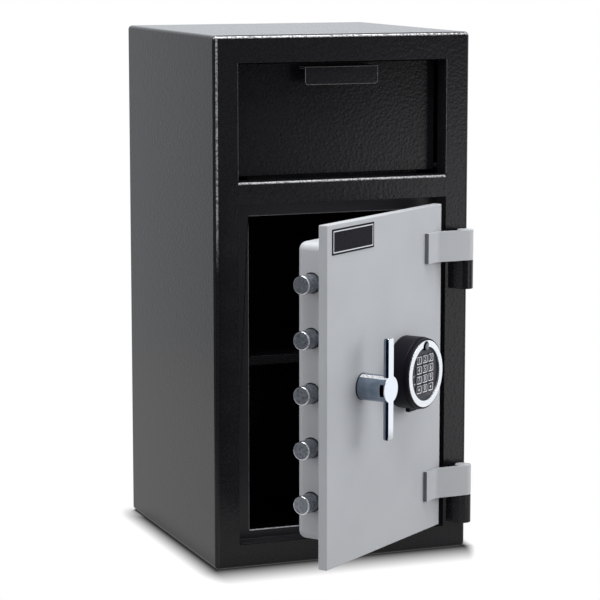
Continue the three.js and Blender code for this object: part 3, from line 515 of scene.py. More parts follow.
def grey_powder_coat():
    finish = Finish("grey_powder_coat", paint("B4B6B9"), 0.45)
    grain = finish.noise(1.2 * MM, 2)
    cloud = finish.noise(90 * MM, 2)
    finish.shades(finish.between(cloud, 0, 1), paint("B2B4B8"), paint("B8BABE"))
    finish.rough(grain, 0.4, 0.55)
    finish.bumps((grain, 0.25, 0.1 * MM), (finish.noise(0.5 * MM, 1), 0.2, 0.05 * MM))
    return finish.material


def sawn_end():
    """The end face of a hinge strap, painted darker than the strap as painted shade, with bumps of saw marks."""
    finish = Finish("sawn_end", paint("6C6D72"), 0.5)
    marks = finish.noise(0.9 * MM, 3, (1, 1, 0.5))
    finish.shades(finish.between(marks, 0, 1), paint("505156"), paint("8A8B90"))
    finish.rough(marks, 0.45, 0.6)
    finish.bumps((marks, 0.5, 0.2 * MM),)
    return finish.material


def zinc_plate():
    finish = Finish("zinc_plate", paint("8E939B"), 0.35, 0.92)
    cloud = finish.noise(4 * MM, 4)
    finish.shades(finish.between(cloud, 0, 1), paint("757A83"), paint("A9AEB6"))
    finish.rough(cloud, 0.26, 0.4)
    finish.bumps((finish.noise(1.2 * MM, 3), 0.2, 0.06 * MM),)
    return finish.material


def bright_rim():
    """A pale, half metallic finish for painted highlights: the upward edge of the door opening's low lip, the
    bolts' rims on one side and bands on the handle's hub.
    """
    finish = Finish("bright_rim", paint("F0F2F6"), 0.25, 0.45)
    finish.rough(finish.noise(2 * MM, 2), 0.2, 0.34)
    return finish.material


def plain_steel():
    finish = Finish("plain_steel", paint("8D9093"), 0.4, 1.0)
    brushed = finish.noise(0.4 * MM, 3, (1, 1, 30))
    finish.shades(finish.between(brushed, 0, 1), paint("7C7F83"), paint("999CA0"))
    finish.rough(brushed, 0.32, 0.48)
    finish.bumps((brushed, 0.2, 0.03 * MM),)
    return finish.material


def polished_chrome():
    finish = Finish("polished_chrome", paint("EDF0F5"), 0.08, 1.0)
    smear = finish.noise(14 * MM, 3)
    finish.rough(smear, 0.05, 0.13)
    finish.bumps((finish.noise(9 * MM, 1), 0.05, 0.2 * MM),)
    return finish.material


def hub_chrome():
    """A dimmer copy of the chrome on the hub's side and the back of the bar, as painted shade in their reflection.
    """
    finish = Finish("hub_chrome", paint("8E9CAC"), 0.2, 1.0)
    smear = finish.noise(10 * MM, 3)
    finish.shades(finish.between(smear, 0, 1), paint("7E8C9D"), paint("9AA7B6"))
    finish.rough(smear, 0.16, 0.26)
    finish.bumps((finish.noise(9 * MM, 1), 0.05, 0.2 * MM),)
    return finish.material


def dark_chrome():
    """A near-black copy of the chrome: painted dark reflection on the bar's sides near its front, and painted
    shade in the hub's notches and on the touch contact's sides.
    """
    finish = Finish("dark_chrome", paint("1C2030"), 0.25, 1.0)
    smear = finish.noise(8 * MM, 3)
    finish.shades(finish.between(smear, 0, 1), paint("12151F"), paint("272C3E"))
    finish.rough(smear, 0.2, 0.3)
    return finish.material


def silver_ring():
    finish = Finish("silver_ring", paint("F2F3F6"), 0.22, 0.8)
    finish.rough(finish.noise(3 * MM, 2), 0.18, 0.28)
    finish.bumps((finish.noise(6 * MM, 1), 0.03, 0.05 * MM),)
    return finish.material


def cast_lock_metal():
    finish = Finish("cast_lock_metal", paint("C9CBCD"), 0.45, 0.9)
    grain = finish.noise(1.4 * MM, 3)
    finish.rough(grain, 0.38, 0.55)
    finish.bumps((grain, 0.25, 0.08 * MM),)
    return finish.material


def black_moulded_plastic():
    finish = Finish("black_moulded_plastic", paint("121118"), 0.45)
    finish.shader.inputs["Specular IOR Level"].default_value = 0.1
    grain = finish.noise(0.5 * MM, 2)
    finish.shades(finish.between(grain, 0, 1), paint("121118"), paint("18171F"))
    finish.rough(grain, 0.33, 0.45)
    finish.bumps((grain, 0.15, 0.03 * MM),)
    return finish.material


def key_plate():
    finish = Finish("key_plate", paint("24232B"), 0.4)
    grain = finish.noise(0.6 * MM, 2)
    finish.shades(finish.between(grain, 0, 1), paint("222129"), paint("292831"))
    finish.rough(grain, 0.35, 0.48)
    finish.bumps((grain, 0.1, 0.02 * MM),)
    return finish.material


def key_rubber():
    finish = Finish("key_rubber", paint("2A2A30"), 0.55)
    grain = finish.noise(0.4 * MM, 2)
    finish.rough(grain, 0.48, 0.62)
    finish.bumps((grain, 0.15, 0.03 * MM),)
    return finish.material


# Pale print for digits, dots and the plate's line, also used for the painted highlight round each key's top
def printed_white():
    finish = Finish("printed_white", paint("D8DADF"), 0.5)
    finish.rough(finish.noise(0.5 * MM, 2), 0.42, 0.6)
    return finish.material


def plate_black():
    finish = Finish("plate_black", paint("141319"), 0.3)
    finish.shader.inputs["Specular IOR Level"].default_value = 0.05
    finish.rough(finish.noise(2 * MM, 2), 0.25, 0.38)
    return finish.material


def contact_metal():
    finish = Finish("contact_metal", paint("7C7E84"), 0.3, 0.7)
    finish.rough(finish.noise(1 * MM, 2), 0.25, 0.4)
    return finish.material


materials = {
    "black_paint": black_powder_coat(),
    "black_painted_paler": black_coat_inside(),
    "cabinet_edge_highlight": black_coat_on_edges(),
    "black_lip": black_coat_on_lips(),
    "grey_paint": grey_powder_coat(),
    "sawn_end": sawn_end(),
    "zinc": zinc_plate(),
    "bright_rim": bright_rim(),
    "steel": plain_steel(),
    "chrome": polished_chrome(),
    "hub_chrome": hub_chrome(),
    "dark_chrome": dark_chrome(),
    "silver_trim": silver_ring(),
    "lock_metal": cast_lock_metal(),
    "black_plastic": black_moulded_plastic(),
    "key_plate": key_plate(),
    "key_rubber": key_rubber(),
    "print_and_key_highlight": printed_white(),
    "plate": plate_black(),
    "contact": contact_metal(),
}


# Cabinet

def opening_in(ring):
    """The clear opening inside a frame's ring."""
    low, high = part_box(ring)
    return low + Vector((SHEET, 0, SHEET)), high - Vector((SHEET, 0, SHEET))


def make_cabinet_shell():
    low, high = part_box("body_shell")
    shell = painted(block("cabinet_shell", low, high), "black_paint", "cabinet_edge_highlight", "black_lip")
    round_edges(shell, lambda c: abs(c[0].y - c[1].y) > TOUCH, CABINET_CORNER, 6)
    round_edges(shell, lambda c: all(abs(p.y - low.y) < TOUCH for p in c), CABINET_EDGE, 6, 1)
    wall = Vector((SHEET, SHEET, SHEET))
    cut(shell, block("hollow", low + wall, high - wall + Vector((0, SHEET + OVERRUN, 0))))
    openings = [opening_in("door_frame"), opening_in("hopper_frame")]
    for opening_low, opening_high in openings:
        cut(shell, block("way", Vector((opening_low.x, low.y - OVERRUN, opening_low.z)),
                         Vector((opening_high.x, low.y + SHEET + OVERRUN, opening_high.z))))

    def at_opening(corners):
        return any(all(abs(p.y - low.y) < TOUCH
                       and a.x - TOUCH < p.x < b.x + TOUCH and a.z - TOUCH < p.z < b.z + TOUCH
                       for p in corners) for a, b in openings)

    def at_height(corners, z):
        return all(abs(p.z - z) < TOUCH for p in corners)

    threshold, sill = openings[0][0].z, openings[1][0].z
    round_edges(shell, lambda c: at_opening(c) and at_height(c, sill), SILL_EDGE, 5, 1)
    round_edges(shell, lambda c: at_opening(c) and at_height(c, threshold), SHEET_EDGE, 2, 1)
    round_edges(shell, lambda c: at_opening(c) and not at_height(c, sill) and not at_height(c, threshold),
                OPENING_EDGE, 4, 1)
    # Painted highlights stay where a rounded edge lies in these places and faces these ways: the bright one at the
    # top, the left and the sill, the faint one beside the hopper
    for polygon in shell.data.polygons:
        if polygon.material_index:
            c, n = polygon.center, polygon.normal
            at_top = c.z > high.z - 2 * CABINET_EDGE and 0.3 < n.z < 0.75 and n.y < -0.35
            at_left = c.x < low.x + CABINET_EDGE and n.x < -0.1 and n.y < -0.85
            at_sill = abs(c.z - sill) < 2 * SILL_EDGE and n.z > 0.1
            beside_hopper = (sill < c.z < openings[1][1].z and -0.92 < n.y < -0.5
                             and low.x + SIDE_STILE < c.x < high.x - SIDE_STILE)
            polygon.material_index = 1 if at_top or at_left or at_sill else 2 if beside_hopper else 0
    through = Vector((0, 0, SHEET + OVERRUN))
    for x in (low.x + ANCHOR_FROM_SIDE, high.x - ANCHOR_FROM_SIDE):
        for y in (low.y + ANCHOR_FROM_END, high.y - ANCHOR_FROM_END):
            cut(shell, rod("anchor", Vector((x, y, low.z)) - through, Vector((x, y, low.z)) + through,
                           ANCHOR_HOLE_RADIUS, SMALL_ROUND_FACETS))
    shaded(shell)
    settle(shell, "black_paint", "cabinet", "body_shell")


def make_sheet_pieces():
    """The folded sheets inside the cabinet, with their edges taken off."""
    frame_low, frame_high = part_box("door_frame")
    lip_low = frame_low + Vector((1, 0, 1)) * LIP_FOLD
    lip_high = frame_high - Vector((1, 0, 1)) * LIP_FOLD
    for node in ("back_panel", "door_frame", "hopper_frame", "chute_plate", "fishing_baffle", "shelf",
                 "shelf_support_left", "shelf_support_right", "rod_bracket_left", "rod_bracket_right"):
        edge = FRAME_EDGE if node.endswith("frame") else SHEET_EDGE
        # The door opening's frame gets the coat painted paler, as painted light
        coat = "black_painted_paler" if node == "door_frame" else "black_paint"
        piece = painted(merged_copy(node, node + "_finished"), coat, "bright_rim", "black_lip")
        if node == "back_panel":
            widened(piece, WELD_FILL)
        fine_edges(piece, edge)
        # Painted highlights: the door opening's stop lip keeps the fainter one on its edges, and the upward edge
        # of its low lip gets the white one
        rubbed_only(piece, lambda c, n: node == "door_frame" and n.y < -0.1 and c.y > frame_high.y - 2 * SHEET
                    and lip_low.x < c.x < lip_high.x and lip_low.z < c.z < lip_high.z)
        for polygon in piece.data.polygons:
            low_lip = frame_low.z + SHEET < polygon.center.z < frame_low.z + LOW_LIP
            if polygon.material_index and low_lip and polygon.normal.z > 0.2:
                polygon.material_index = 1
        settle(piece, "black_paint", "cabinet", node)


def make_hinges():
    across = shut_turn.to_3x3()
    for place in ("upper", "lower"):
        knuckle = painted(merged_copy(f"hinge_knuckle_{place}", f"hinge_barrel_{place}"), "black_paint")
        settle(fine_edges(knuckle, BARREL_EDGE), "black_paint", "cabinet", f"hinge_knuckle_{place}")
        strap = painted(merged_copy(f"hinge_strap_{place}", f"hinge_leaf_{place}"), "sawn_end", "grey_paint")
        fine_edges(strap, STRAP_EDGE)
        left = shut_box(f"hinge_strap_{place}")[0].x
        # The strap's end face gets the darker finish as painted shade
        for polygon in strap.data.polygons:
            at_end = (shut_turn @ polygon.center).x < left + STRAP_EDGE
            shaded_end = at_end and (across @ polygon.normal).x < -STRAP_END_FACING
            polygon.material_index = 0 if shaded_end else 1
        settle(strap, "grey_paint", "door", f"hinge_strap_{place}")


# Hopper

def make_hopper():
    # The pull's rounded edges get the fainter painted highlight
    for node, *finishes in (("hopper_front", "black_paint"), ("hopper_bin", "black_paint"),
                            ("hopper_handle", "black_paint", "black_lip")):
        piece = painted(merged_copy(node, node + "_finished"), *finishes)
        settle(fine_edges(piece, SHEET_EDGE), "black_paint", "hopper", node)


# Door

def make_door_plate():
    plate = block("door_leaf", *shut_box("door_plate"))
    low, high = shut_box("spindle_bush")
    middle = (low + high) / 2
    bore = (shut_box("handle_spindle")[1].x - shut_box("handle_spindle")[0].x) / 2
    reach = Vector((0, OVERRUN, 0))
    cutter = rod("bore", Vector((middle.x, low.y, middle.z)) - reach * 2,
                 Vector((middle.x, high.y, middle.z)) + reach, bore + SHEET + BUSH_GAP)
    fine_edges(plate, PLATE_EDGE)
    cut(plate, cutter)
    shaded(plate)
    settle(swung_open(plate), "grey_paint", "door", "door_plate")


def bolt_boxes():
    return [(f"bolt_{i}", *shut_box(f"bolt_{i}")) for i in range(1, 6)]


def make_bolt_pan():
    low, high = shut_box("bolt_pan")
    pan = block("bolt_pan_cover", low, high)
    round_edges(pan, lambda c: abs(c[0].y - c[1].y) > TOUCH, PAN_CORNER, 8)
    round_edges(pan, lambda c: all(abs(p.y - high.y) < TOUCH for p in c), PAN_BACK_EDGE, 8)
    pick(pan, "FACE", lambda c: all(abs(p.y - low.y) < TOUCH for p in c))
    bpy.ops.mesh.delete(type="FACE")
    done()
    modified(pan, "SOLIDIFY", thickness=PAN_SHEET, offset=-1, use_even_offset=True)
    for _, bolt_low, bolt_high in bolt_boxes():
        middle = (bolt_low + bolt_high) / 2
        radius = (bolt_high.z - bolt_low.z) / 2 + BOLT_HOLE_GAP
        cut(pan, rod("hole", Vector((low.x - OVERRUN, middle.y, middle.z)),
                     Vector((low.x + OVERRUN, middle.y, middle.z)), radius, HOLE_FACETS))
    fine_edges(pan, PAN_HOLE_EDGE, 2, 40)
    settle(swung_open(pan), "grey_paint", "door", "bolt_pan")


def make_bolts():
    for name, low, high in bolt_boxes():
        middle = (low + high) / 2
        bolt = rod(f"{name}_turned", Vector((high.x, middle.y, middle.z)),
                   Vector((low.x, middle.y, middle.z)), (high.z - low.z) / 2)
        painted(bolt, "zinc", "chrome", "bright_rim")
        round_edges(bolt, lambda c: all(abs(p.x - low.x) < TOUCH for p in c), BOLT_CHAMFER, 4, 1)
        # The rim faces that face this way get a painted highlight
        for polygon in bolt.data.polygons:
            if polygon.material_index and polygon.normal.y < -BOLT_HIGHLIGHT_SIDE:
                polygon.material_index = 2
        shaded(bolt, 25)
        settle(swung_open(bolt), "zinc", "boltwork", name)


# Handle

def make_handle():
    low, high = shut_box("door_handle")
    middle = (low + high) / 2
    radius = (high.x - low.x) / 2
    door_face = shut_box("door_plate")[0].y
    foot = Vector((middle.x, door_face - FOOT_RING_HEIGHT - BUSH_GAP, middle.z))
    # A dark ring at the hub's foot, as painted shade for the gap where the hub meets the door
    foot_ring = painted(rod("hub_foot_shade_ring", foot + Vector((0, BUSH_GAP, 0)),
                         Vector((middle.x, door_face, middle.z)), radius + FOOT_RING_OVERHANG), "black_plastic")
    settle(swung_open(fine_edges(foot_ring, BUSH_GAP, 2)), "black_plastic", "door")
    hub = rod("lever_handle", foot, Vector((middle.x, low.y, middle.z)), radius, FINE_FACETS)
    y = low.y + NOTCH_FROM_FRONT
    half = NOTCH_WIDTH / 2
    for side in (middle.x - radius, middle.x + radius):
        cut(hub, block("notch", Vector((side - NOTCH_DEPTH, y, middle.z - half)),
                       Vector((side + NOTCH_DEPTH, y + NOTCH_LENGTH, middle.z + half))))
    fine_edges(hub, HUB_EDGE, 4, 35)
    half_bar = Vector((BAR_WIDTH / 2, 0, 0))
    bar = block("bar", Vector((middle.x, low.y, low.z)) - half_bar,
                Vector((middle.x, low.y + BAR_THICKNESS, high.z)) + half_bar)
    for end in (low.z, high.z):
        pick(bar, "VERT", lambda c: abs(c[0].z - end) < TOUCH)
        bpy.ops.transform.resize(value=(BAR_END_SHARE, 1, 1), center_override=(middle.x, middle.y, end))
        done()
    round_edges(bar, lambda c: abs(c[0].y - c[1].y) > TOUCH, BAR_CORNER, 5)
    round_edges(bar, lambda c: all(abs(p.y - low.y) < TOUCH for p in c), BAR_EDGE, 5)
    round_edges(bar, lambda c: all(abs(p.y - low.y - BAR_THICKNESS) < TOUCH for p in c), BAR_BACK_EDGE, 3)
    pick(bar, "FACE", lambda c: True)
    bpy.ops.mesh.bisect(plane_co=(middle.x, low.y + BAR_DARK_DEPTH, middle.z), plane_no=(0, 1, 0))
    done()
    modified(hub, "BOOLEAN", operation="UNION", solver="EXACT", object=bar)
    bpy.data.objects.remove(bar)
    painted(shaded(hub), "chrome", "hub_chrome", "dark_chrome", "bright_rim")
    # Painted light on the lever: near-black chrome for the dark reflection on the bar's sides near its front and
    # the shade in the hub's notches, dimmer chrome on the hub's side and the bar's back, and a white painted
    # highlight in a band each side of the hub's top
    for polygon in hub.data.polygons:
        spot = polygon.center - middle
        from_axis = math.hypot(spot.x, spot.z)
        depth = polygon.center.y - low.y
        if abs(spot.z) > radius:
            aside = abs(polygon.normal.x) > BAR_SIDE
            polygon.material_index = (2 if depth < BAR_DARK_DEPTH else 1) if aside else 0
        elif from_axis < radius - NOTCH_DEPTH / 4 and depth > NOTCH_FROM_FRONT / 2:
            polygon.material_index = 2
        elif depth > BAR_EDGE:
            polygon.material_index = 3 if HUB_HIGHLIGHT_FROM < abs(math.atan2(spot.x, spot.z)) < HUB_HIGHLIGHT_TO else 1
    settle(swung_open(hub), "chrome", "handle", "door_handle")


# Keypad

def printed_dot(name, place, radius):
    return rod(name, place, place - Vector((0, DIGIT_THICKNESS, 0)), radius, DOT_FACETS)


def make_keypad():
    low, high = shut_box("keypad_housing")
    middle = (low + high) / 2
    place = Vector((middle.x, high.y, middle.z))
    ring_low, ring_high = shut_box("keypad_ring")
    face_low, face_high = shut_box("keypad_face")
    radius = (high.z - low.z) / 2
    bezel = high.y - low.y
    ring_seat = high.y - ring_high.y - BUSH_GAP
    face_seat = high.y - face_high.y - BUSH_GAP
    ring_radius = (ring_high.x - ring_low.x) / 2 + BUSH_GAP
    face_radius = (face_high.x - face_low.x) / 2 + BUSH_GAP
    soft = KEYPAD_BEZEL_EDGE
    profile = [
        (radius, 0), (radius, KEYPAD_RIM_HEIGHT - 3 * soft), (radius - soft, KEYPAD_RIM_HEIGHT - soft),
        (KEYPAD_BEZEL_RADIUS, KEYPAD_RIM_HEIGHT),
        (KEYPAD_BEZEL_RADIUS - KEYPAD_GROOVE / 2, KEYPAD_RIM_HEIGHT + KEYPAD_GROOVE / 2),
        (KEYPAD_BEZEL_RADIUS, KEYPAD_RIM_HEIGHT + KEYPAD_GROOVE),
        (KEYPAD_BEZEL_RADIUS, bezel - soft), (KEYPAD_BEZEL_RADIUS - soft / 2, bezel),
        (ring_radius, bezel), (ring_radius, ring_seat), (face_radius, ring_seat), (face_radius, face_seat)]
    housing = turned("keypad_body", place, profile)
    drawer_low, drawer_high = shut_box("battery_drawer")
    gap = Vector((BUSH_GAP, BUSH_GAP, BUSH_GAP))
    cut(housing, block("pocket", drawer_low - gap, drawer_high + gap))
    shaded(housing, 25)
    settle(swung_open(housing), "black_plastic", "door", "keypad_housing")

    contact_low, contact_high = shut_box("keypad_contact")
    contact = (contact_low + contact_high) / 2
    outer = (ring_high.x - ring_low.x) / 2 - RING_TRIM
    inner = outer - RING_BAND
    ahead = Vector((0, OVERRUN, 0))
    ring = rod("silver_ring", Vector((middle.x, ring_high.y, middle.z)),
               Vector((middle.x, ring_low.y, middle.z)), outer, FINE_FACETS)
    cut(ring, rod("inside", Vector((middle.x, ring_high.y, middle.z)) + ahead,
                  Vector((middle.x, ring_low.y, middle.z)) - ahead, inner, FINE_FACETS),
        rod("notch", Vector((contact.x, ring_high.y, contact.z)) + ahead,
            Vector((contact.x, ring_low.y, contact.z)) - ahead,
            (contact_high.x - contact_low.x) / 2 + CONTACT_GAP, HOLE_FACETS))
    fine_edges(ring, RING_BEVEL, 3)
    settle(swung_open(ring), "silver_trim", "door", "keypad_ring")

    face = painted(fine_edges(merged_copy("keypad_face", "keypad_plate"), FACE_EDGE, 2), "key_plate")
    dots = []
    for x, z in LAMP_DOTS:
        place = Vector((middle.x + x, face_low.y, middle.z + z))
        dots.append(swung_open(painted(printed_dot("lamp_dot", place, LAMP_DOT_RADIUS), "print_and_key_highlight")))
    settle(joined(face, *dots), "black_plastic", "door", "keypad_face")
    drawer = fine_edges(merged_copy("battery_drawer", "battery_tray"), SHEET_EDGE, 2)
    settle(drawer, "black_plastic", "battery", "battery_drawer")

    tall = contact_high.y - contact_low.y + CONTACT_CROWN
    wide = (contact_high.x - contact_low.x) / 2
    dome = [(wide * radius_share, tall * height_share) for radius_share, height_share in CONTACT_DOME]
    button = turned("touch_contact", Vector((contact.x, contact_high.y, contact.z)), dome, SMALL_ROUND_FACETS)
    painted(shaded(button, 40), "contact", "dark_chrome")
    # The contact's sides get the near-black chrome as painted shade; only the crown facing out keeps the contact
    # metal
    for polygon in button.data.polygons:
        if polygon.normal.y > CONTACT_DARK_FROM:
            polygon.material_index = 1
    settle(swung_open(button), "contact", "door", "keypad_contact")


def key_cap(low, high):
    """A rubber key at its place, with a pale line round its top as a painted highlight on its edge."""
    flange = Vector((KEY_FLANGE, 0, KEY_FLANGE))
    key = block("cap", low + flange, high - flange)
    front = low.y
    round_edges(key, lambda c: abs(c[0].y - c[1].y) > TOUCH, KEY_CORNER, 5)
    pick(key, "FACE", lambda c: all(abs(p.y - front) < TOUCH for p in c))
    bpy.ops.mesh.inset(thickness=KEY_CROWN)
    bpy.ops.mesh.inset(thickness=KEY_LINE)
    bpy.ops.transform.translate(value=(0, KEY_DISH, 0))
    done()
    painted(key, "key_rubber", "print_and_key_highlight")
    middle = (low + high) / 2
    half_x = (high.x - low.x) / 2 - KEY_FLANGE
    half_z = (high.z - low.z) / 2 - KEY_FLANGE
    # The pale line round the crown is a painted highlight
    for polygon in key.data.polygons:
        corners = [key.data.vertices[i].co for i in polygon.vertices]
        at_front = all(p.y < front + KEY_DISH + TOUCH for p in corners)
        inside = all(abs(p.x - middle.x) < half_x - KEY_CROWN + TOUCH
                     and abs(p.z - middle.z) < half_z - KEY_CROWN + TOUCH for p in corners)
        polygon.material_index = 1 if at_front and inside and len(corners) == 4 else 0
    return key


def digit_mark(text, x, front, z):
    """A printed digit, or a round dot for a key without one."""
    place = Vector((x, front, z))
    if not text.isdigit():
        return printed_dot("dot", place, MARK_RADIUS)
    bpy.ops.object.select_all(action="DESELECT")
    bpy.ops.object.text_add(rotation=(math.radians(90), 0, 0))
    mark = bpy.context.object
    mark.data.body = text
    mark.data.align_x = "CENTER"
    mark.data.align_y = "CENTER"
    mark.data.size = DIGIT_FONT_SIZE
    mark.data.extrude = DIGIT_THICKNESS / 2
    bpy.ops.object.convert(target="MESH")
    mark = bpy.context.object
    mark.location = place
    return added("digit")


def make_keys():
    for name in [str(digit) for digit in range(10)] + ["left", "right"]:
        low, high = shut_box(f"key_{name}")
        middle = (low + high) / 2
        key = key_cap(low, high)
        joined(key, painted(digit_mark(name, middle.x, low.y + KEY_DISH, middle.z), "print_and_key_highlight"))
        key.name = f"keycap_{name}"
        key.data.name = key.name
        settle(swung_open(key), "key_rubber", f"key_{name}", f"key_{name}")


def make_name_plate():
    """A bare dark plate with a plain pale line inside its edge."""
    face = shut_box("door_plate")[0].y
    plate = block("blank_plate", NAME_PLATE_LOW + Vector((0, face - NAME_PLATE_THICKNESS, 0)),
                  NAME_PLATE_HIGH + Vector((0, face - TOUCH, 0)))
    front = face - NAME_PLATE_THICKNESS
    pick(plate, "FACE", lambda c: all(abs(p.y - front) < TOUCH for p in c))
    bpy.ops.mesh.inset(thickness=NAME_PLATE_MARGIN)
    bpy.ops.mesh.inset(thickness=NAME_PLATE_LINE)
    done()
    middle = (NAME_PLATE_LOW + NAME_PLATE_HIGH) / 2
    half = NAME_PLATE_HIGH - middle - Vector((NAME_PLATE_MARGIN, 0, NAME_PLATE_MARGIN))
    painted(plate, "plate", "print_and_key_highlight")
    for polygon in plate.data.polygons:
        corners = [plate.data.vertices[i].co - middle for i in polygon.vertices]
        inside = all(abs(p.x) < half.x + TOUCH and abs(p.z) < half.z + TOUCH for p in corners)
        at_line = any(abs(p.x) > half.x - TOUCH or abs(p.z) > half.z - TOUCH for p in corners)
        polygon.material_index = 1 if inside and at_line else 0
    swung_open(plate)
    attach(plate, "door")


def dress_inner_nodes():
    """The pieces that only show in passing keep their CAD shape and get their finish."""
    for subpart in frame["record"]["subparts"]:
        painted(frame["nodes"][subpart["node"]], subpart["material_slot"])


# Stage

def softbox(name, place, target, width, height, power, mirrored=True):
    """An area lamp; one that isn't mirrored lights the object but doesn't show in its gloss."""
    bpy.ops.object.light_add(type="AREA", location=place)
    lamp = bpy.context.object
    lamp.name = name
    lamp.data.shape = "RECTANGLE"
    lamp.data.size = width
    lamp.data.size_y = height
    lamp.data.energy = power
    lamp.visible_glossy = mirrored
    lamp.rotation_euler = (Vector(target) - Vector(place)).to_track_quat("-Z", "Y").to_euler()


def make_floor():
    """White, with a shadow that fades away beside the cabinet and a close one under what is near it."""
    bpy.ops.object.select_all(action="DESELECT")
    bpy.ops.mesh.primitive_plane_add(size=1, location=FLOOR_CENTRE)
    bpy.context.object.scale = FLOOR_SIZE
    floor = added("floor")
    material = bpy.data.materials.new("floor")
    material.use_nodes = True
    nodes, links = material.node_tree.nodes, material.node_tree.links
    shader = nodes["Principled BSDF"]
    shader.inputs["Base Color"].default_value = FLOOR_COLOR
    shader.inputs["Roughness"].default_value = 0.9
    shader.inputs["Specular IOR Level"].default_value = 0
    glow = nodes.new("ShaderNodeEmission")
    glow.inputs["Color"].default_value = WHITE

    def ramp(value, from_low, from_high):
        """Rises from the darkest shadow to the open floor."""
        node = nodes.new("ShaderNodeMapRange")
        node.inputs["From Min"].default_value = from_low
        node.inputs["From Max"].default_value = from_high
        node.inputs["To Min"].default_value = DEEPEST_SHADOW
        node.inputs["To Max"].default_value = 1
        links.new(value, node.inputs["Value"])
        return node.outputs["Result"]

    def vector_step(operation, vector, other=None):
        node = nodes.new("ShaderNodeVectorMath")
        node.operation = operation
        links.new(vector, node.inputs[0])
        if other:
            node.inputs[1].default_value = other
        return node.outputs["Value" if operation == "LENGTH" else "Vector"]

    def added_up(one, other):
        node = nodes.new("ShaderNodeVectorMath")
        links.new(one, node.inputs[0])
        links.new(other, node.inputs[1])
        return node.outputs["Vector"]

    openness = nodes.new("ShaderNodeAmbientOcclusion")
    openness.inputs["Distance"].default_value = CLOSE_SHADOW_REACH
    openness.samples = 32
    low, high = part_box("body_shell")
    place = nodes.new("ShaderNodeTexCoord").outputs["Object"]
    left_and_front = vector_step("ADD", vector_step("MULTIPLY", place, (-1, -1, 0)), (low.x, low.y, 0))
    left_and_front = vector_step("MAXIMUM", left_and_front, (0, 0, 0))
    ahead = nodes.new("ShaderNodeSeparateXYZ")
    links.new(left_and_front, ahead.inputs["Vector"])
    lean = nodes.new("ShaderNodeCombineXYZ")
    links.new(ahead.outputs["Y"], lean.inputs["X"])
    leaned = vector_step("MULTIPLY", lean.outputs["Vector"], (SHADOW_LEAN, 0, 0))
    right_and_back = vector_step("SUBTRACT", added_up(place, leaned),
                                 (high.x, high.y - SHADOW_STARTS_BEFORE_BACK, 0))
    right_and_back = vector_step("MULTIPLY", vector_step("MAXIMUM", right_and_back, (0, 0, 0)),
                                 (SHADOW_FADE_AT_RIGHT, 1, 0))
    beside = added_up(right_and_back, vector_step("MULTIPLY", left_and_front, (SHADOW_FADE_AT_LEFT, 1, 0)))
    open_part = nodes.new("ShaderNodeMath")
    open_part.operation = "MINIMUM"
    links.new(ramp(openness.outputs["AO"], CLOSE_SHADOW_DARK_AT, CLOSE_SHADOW_ENDS_AT), open_part.inputs[0])
    links.new(ramp(vector_step("LENGTH", beside), 0, SHADOW_REACH), open_part.inputs[1])
    path = nodes.new("ShaderNodeLightPath")
    share = nodes.new("ShaderNodeMath")
    share.operation = "MULTIPLY"
    share.inputs[1].default_value = FLOOR_SHARE_IN_GLOSS
    links.new(path.outputs["Is Glossy Ray"], share.inputs[0])
    strength = nodes.new("ShaderNodeMix")
    strength.inputs["B"].default_value = FLOOR_IN_GLOSS
    links.new(share.outputs["Value"], strength.inputs["Factor"])
    links.new(open_part.outputs["Value"], strength.inputs["A"])
    links.new(strength.outputs["Result"], glow.inputs["Strength"])
    seen = nodes.new("ShaderNodeMath")
    seen.operation = "MAXIMUM"
    links.new(path.outputs["Is Camera Ray"], seen.inputs[0])
    links.new(path.outputs["Is Glossy Ray"], seen.inputs[1])
    mix = nodes.new("ShaderNodeMixShader")
    links.new(seen.outputs["Value"], mix.inputs["Fac"])
    links.new(shader.outputs["BSDF"], mix.inputs[1])
    links.new(glow.outputs["Emission"], mix.inputs[2])
    links.new(mix.outputs["Shader"], nodes["Material Output"].inputs["Surface"])
    floor.data.materials.append(material)


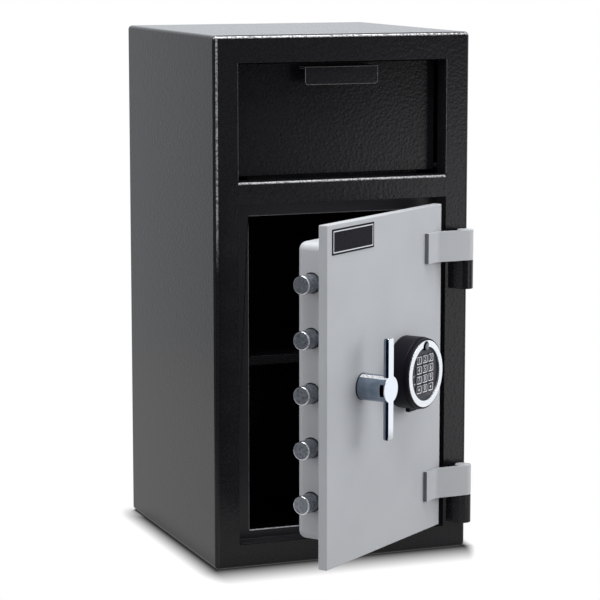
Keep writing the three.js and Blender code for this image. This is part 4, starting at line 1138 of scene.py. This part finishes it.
def make_world():
    """White to the camera. To gloss it is a room with a pale backdrop and right wall and a dark ceiling."""
    world = bpy.data.worlds.new("studio")
    bpy.context.scene.world = world
    world.use_nodes = True
    nodes, links = world.node_tree.nodes, world.node_tree.links

    def ramp(value, from_low, from_high, low, high):
        node = nodes.new("ShaderNodeMapRange")
        node.interpolation_type = "SMOOTHSTEP"
        node.inputs["From Min"].default_value = from_low
        node.inputs["From Max"].default_value = from_high
        node.inputs["To Min"].default_value = low
        node.inputs["To Max"].default_value = high
        links.new(value, node.inputs["Value"])
        return node.outputs["Result"]

    def added_up(one, other):
        node = nodes.new("ShaderNodeMath")
        node.operation = "ADD"
        links.new(one, node.inputs[0])
        links.new(other, node.inputs[1])
        return node.outputs["Value"]

    fill = nodes["Background"]
    fill.inputs["Color"].default_value = FILL_COLOR
    fill.inputs["Strength"].default_value = FILL_LIGHT
    path = nodes.new("ShaderNodeLightPath")
    place = nodes.new("ShaderNodeTexCoord")
    axes = nodes.new("ShaderNodeSeparateXYZ")
    links.new(place.outputs["Generated"], axes.inputs["Vector"])
    direction = nodes.new("ShaderNodeVectorMath")
    direction.operation = "DOT_PRODUCT"
    direction.inputs[1].default_value = TO_RIGHT_AND_BACK
    links.new(place.outputs["Generated"], direction.inputs[0])
    right_and_back = ramp(direction.outputs["Value"], from_low=0, from_high=0.9, low=0.04, high=1.13)
    left = ramp(axes.outputs["X"], from_low=-0.8, from_high=-0.96, low=0, high=LEFT_WALL)
    walls = added_up(right_and_back, left)
    ceiling = ramp(axes.outputs["Z"], from_low=0.35, from_high=0.6, low=1, high=0.08)
    room = nodes.new("ShaderNodeBackground")
    both = nodes.new("ShaderNodeMath")
    both.operation = "MULTIPLY"
    links.new(walls, both.inputs[0])
    links.new(ceiling, both.inputs[1])
    room.inputs["Color"].default_value = ROOM_COLOR
    links.new(both.outputs["Value"], room.inputs["Strength"])
    white = nodes.new("ShaderNodeBackground")
    white.inputs["Color"].default_value = WHITE
    glossy = nodes.new("ShaderNodeMixShader")
    links.new(path.outputs["Is Glossy Ray"], glossy.inputs["Fac"])
    links.new(fill.outputs["Background"], glossy.inputs[1])
    links.new(room.outputs["Background"], glossy.inputs[2])
    shown = nodes.new("ShaderNodeMixShader")
    links.new(path.outputs["Is Camera Ray"], shown.inputs["Fac"])
    links.new(glossy.outputs["Shader"], shown.inputs[1])
    links.new(white.outputs["Background"], shown.inputs[2])
    links.new(shown.outputs["Shader"], nodes["World Output"].inputs["Surface"])


def make_lights():
    softbox("key", place=(2.4, -1.4, 1.1), target=(0, -0.1, 0.4),
            width=1.9, height=1.6, power=41, mirrored=False)
    softbox("low_card", place=(1.3, -2.0, -0.1), target=(0.1, -0.2, 0.3),
            width=0.9, height=1.1, power=4.8)
    softbox("overhead", place=(-0.1, -0.35, 2.3), target=(-0.1, -0.3, 0.4),
            width=2.1, height=1.9, power=72)
    softbox("left_strip", place=(-1.8, -0.7, 0.6), target=(-0.15, -0.3, 0.35),
            width=0.5, height=1.0, power=7, mirrored=False)


def make_camera():
    bpy.ops.object.camera_add(location=CAMERA_PLACE)
    camera = bpy.context.object
    level = math.cos(CAMERA_PITCH)
    ahead = Vector((math.sin(CAMERA_YAW) * level, math.cos(CAMERA_YAW) * level, math.sin(CAMERA_PITCH)))
    camera.rotation_euler = ahead.to_track_quat("-Z", "Y").to_euler()
    camera.data.sensor_width = SENSOR_WIDTH
    camera.data.lens = FOCAL_LENGTH
    bpy.context.scene.camera = camera


dress_inner_nodes()
make_cabinet_shell()
make_sheet_pieces()
make_hinges()
make_hopper()
make_door_plate()
make_bolt_pan()
make_bolts()
make_handle()
make_keypad()
make_keys()
make_name_plate()
make_floor()
make_world()
make_lights()
make_camera()
bpy.context.scene.view_settings.view_transform = "Standard"
